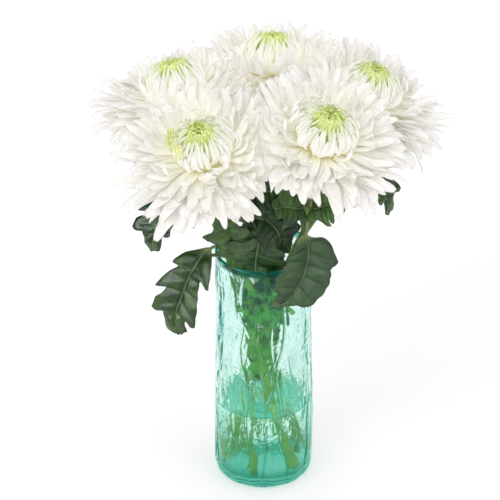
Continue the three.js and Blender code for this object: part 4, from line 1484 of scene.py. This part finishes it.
def make_floor():
    mesh = bpy.data.meshes.new("floor")
    corners = [(x * FLOOR_SIZE, y * FLOOR_SIZE, 0) for x, y in ((-1, -1), (1, -1), (1, 1), (-1, 1))]
    mesh.from_pydata(corners, [], [(0, 1, 2, 3)])
    material, tree, shader = new_material("studio_floor")
    patch = times(tree, mottle(tree, 3.0, 0.3), 0.05)
    feed(tree, shader, {
        "Base Color": mix_colour(tree, patch, (0.94, 0.915, 0.93), (0.92, 0.895, 0.91)),
        "Roughness": 0.9,
        "Specular IOR Level": 0.0,
        "Emission Color": WHITE,
        "Emission Strength": 0.2,
    })
    mesh.materials.append(material)
    floor = add_object("floor", mesh)


def add_lamp(name, place, size, power):
    """A round soft lamp that shines at the middle of the bunch."""
    data = bpy.data.lights.new(name, "AREA")
    data.shape = "DISK"
    data.size = size
    data.energy = power
    lamp = add_object(name, data)
    lamp.location = place
    lamp.rotation_euler = facing(Vector(AIM) - Vector(place))


make_floor()
add_lamp("key", (-1.6, -1.8, 2.6), 1.4, 17.0)
add_lamp("fill", (2.2, -1.4, 1.6), 1.8, 7.0)
bpy.context.scene.view_settings.view_transform = "Standard"
print("lamps:", [light.name for light in bpy.data.lights])

# %% The world
# Each window of light that shiny things mirror: its direction, the cosines at its
# edge and where it is full, and how bright it is.
WINDOWS = [
    ((-0.5, -0.45, 0.74), 0.94, 0.985, 24.0),
    ((0.15, -0.3, 0.94), 0.95, 0.99, 18.0),
    ((0.5, -0.76, 0.4), 0.84, 0.97, 2.4),
    ((-0.85, -0.4, 0.35), 0.95, 0.99, 9.0),
]
BACKDROP_STRENGTH = 1.02
DAYLIGHT_STRENGTH = 0.84
MIRROR_STRENGTH = 0.13


def background(tree, colour, strength):
    return add_node(tree, "Background", {"Color": colour, "Strength": strength}).outputs[0]


def make_world():
    """White behind and round the bunch, and a dark teal one with windows to mirror."""
    world = bpy.data.worlds.new("studio")
    bpy.context.scene.world = world
    world.use_nodes = True
    tree = world.node_tree
    direction = add_node(tree, "TexCoord").outputs["Generated"]
    strength = MIRROR_STRENGTH
    for aim, edge, full, bright in WINDOWS:
        sockets = {0: direction, 1: tuple(unit(aim))}
        towards = add_node(tree, "VectorMath", sockets, operation="DOT_PRODUCT")
        window = add_node(
            tree, "MapRange",
            {"Value": towards.outputs["Value"], "From Min": edge, "From Max": full,
             "To Min": 0.0, "To Max": bright},
            interpolation_type="SMOOTHSTEP",
        )
        strength = plus(tree, window.outputs["Result"], strength)
    teal = mix_colour(tree, times(tree, strength, 1.0, clamp=True), (0.2, 1.0, 0.8), WHITE)
    rays = add_node(tree, "LightPath").outputs
    straight = plus(tree, rays["Is Camera Ray"], rays["Is Transmission Ray"], clamp=True)
    daylight = background(tree, WHITE, DAYLIGHT_STRENGTH)
    around = mix_shaders(tree, rays["Is Glossy Ray"], daylight, background(tree, teal, strength))
    backdrop = tree.nodes["Background"]
    feed(tree, backdrop, {"Color": WHITE, "Strength": BACKDROP_STRENGTH})
    seen = mix_shaders(tree, straight, around, backdrop.outputs[0])
    feed(tree, tree.nodes["World Output"], {"Surface": seen})
    print("world:", world.name, "with", len(WINDOWS), "windows")


make_world()
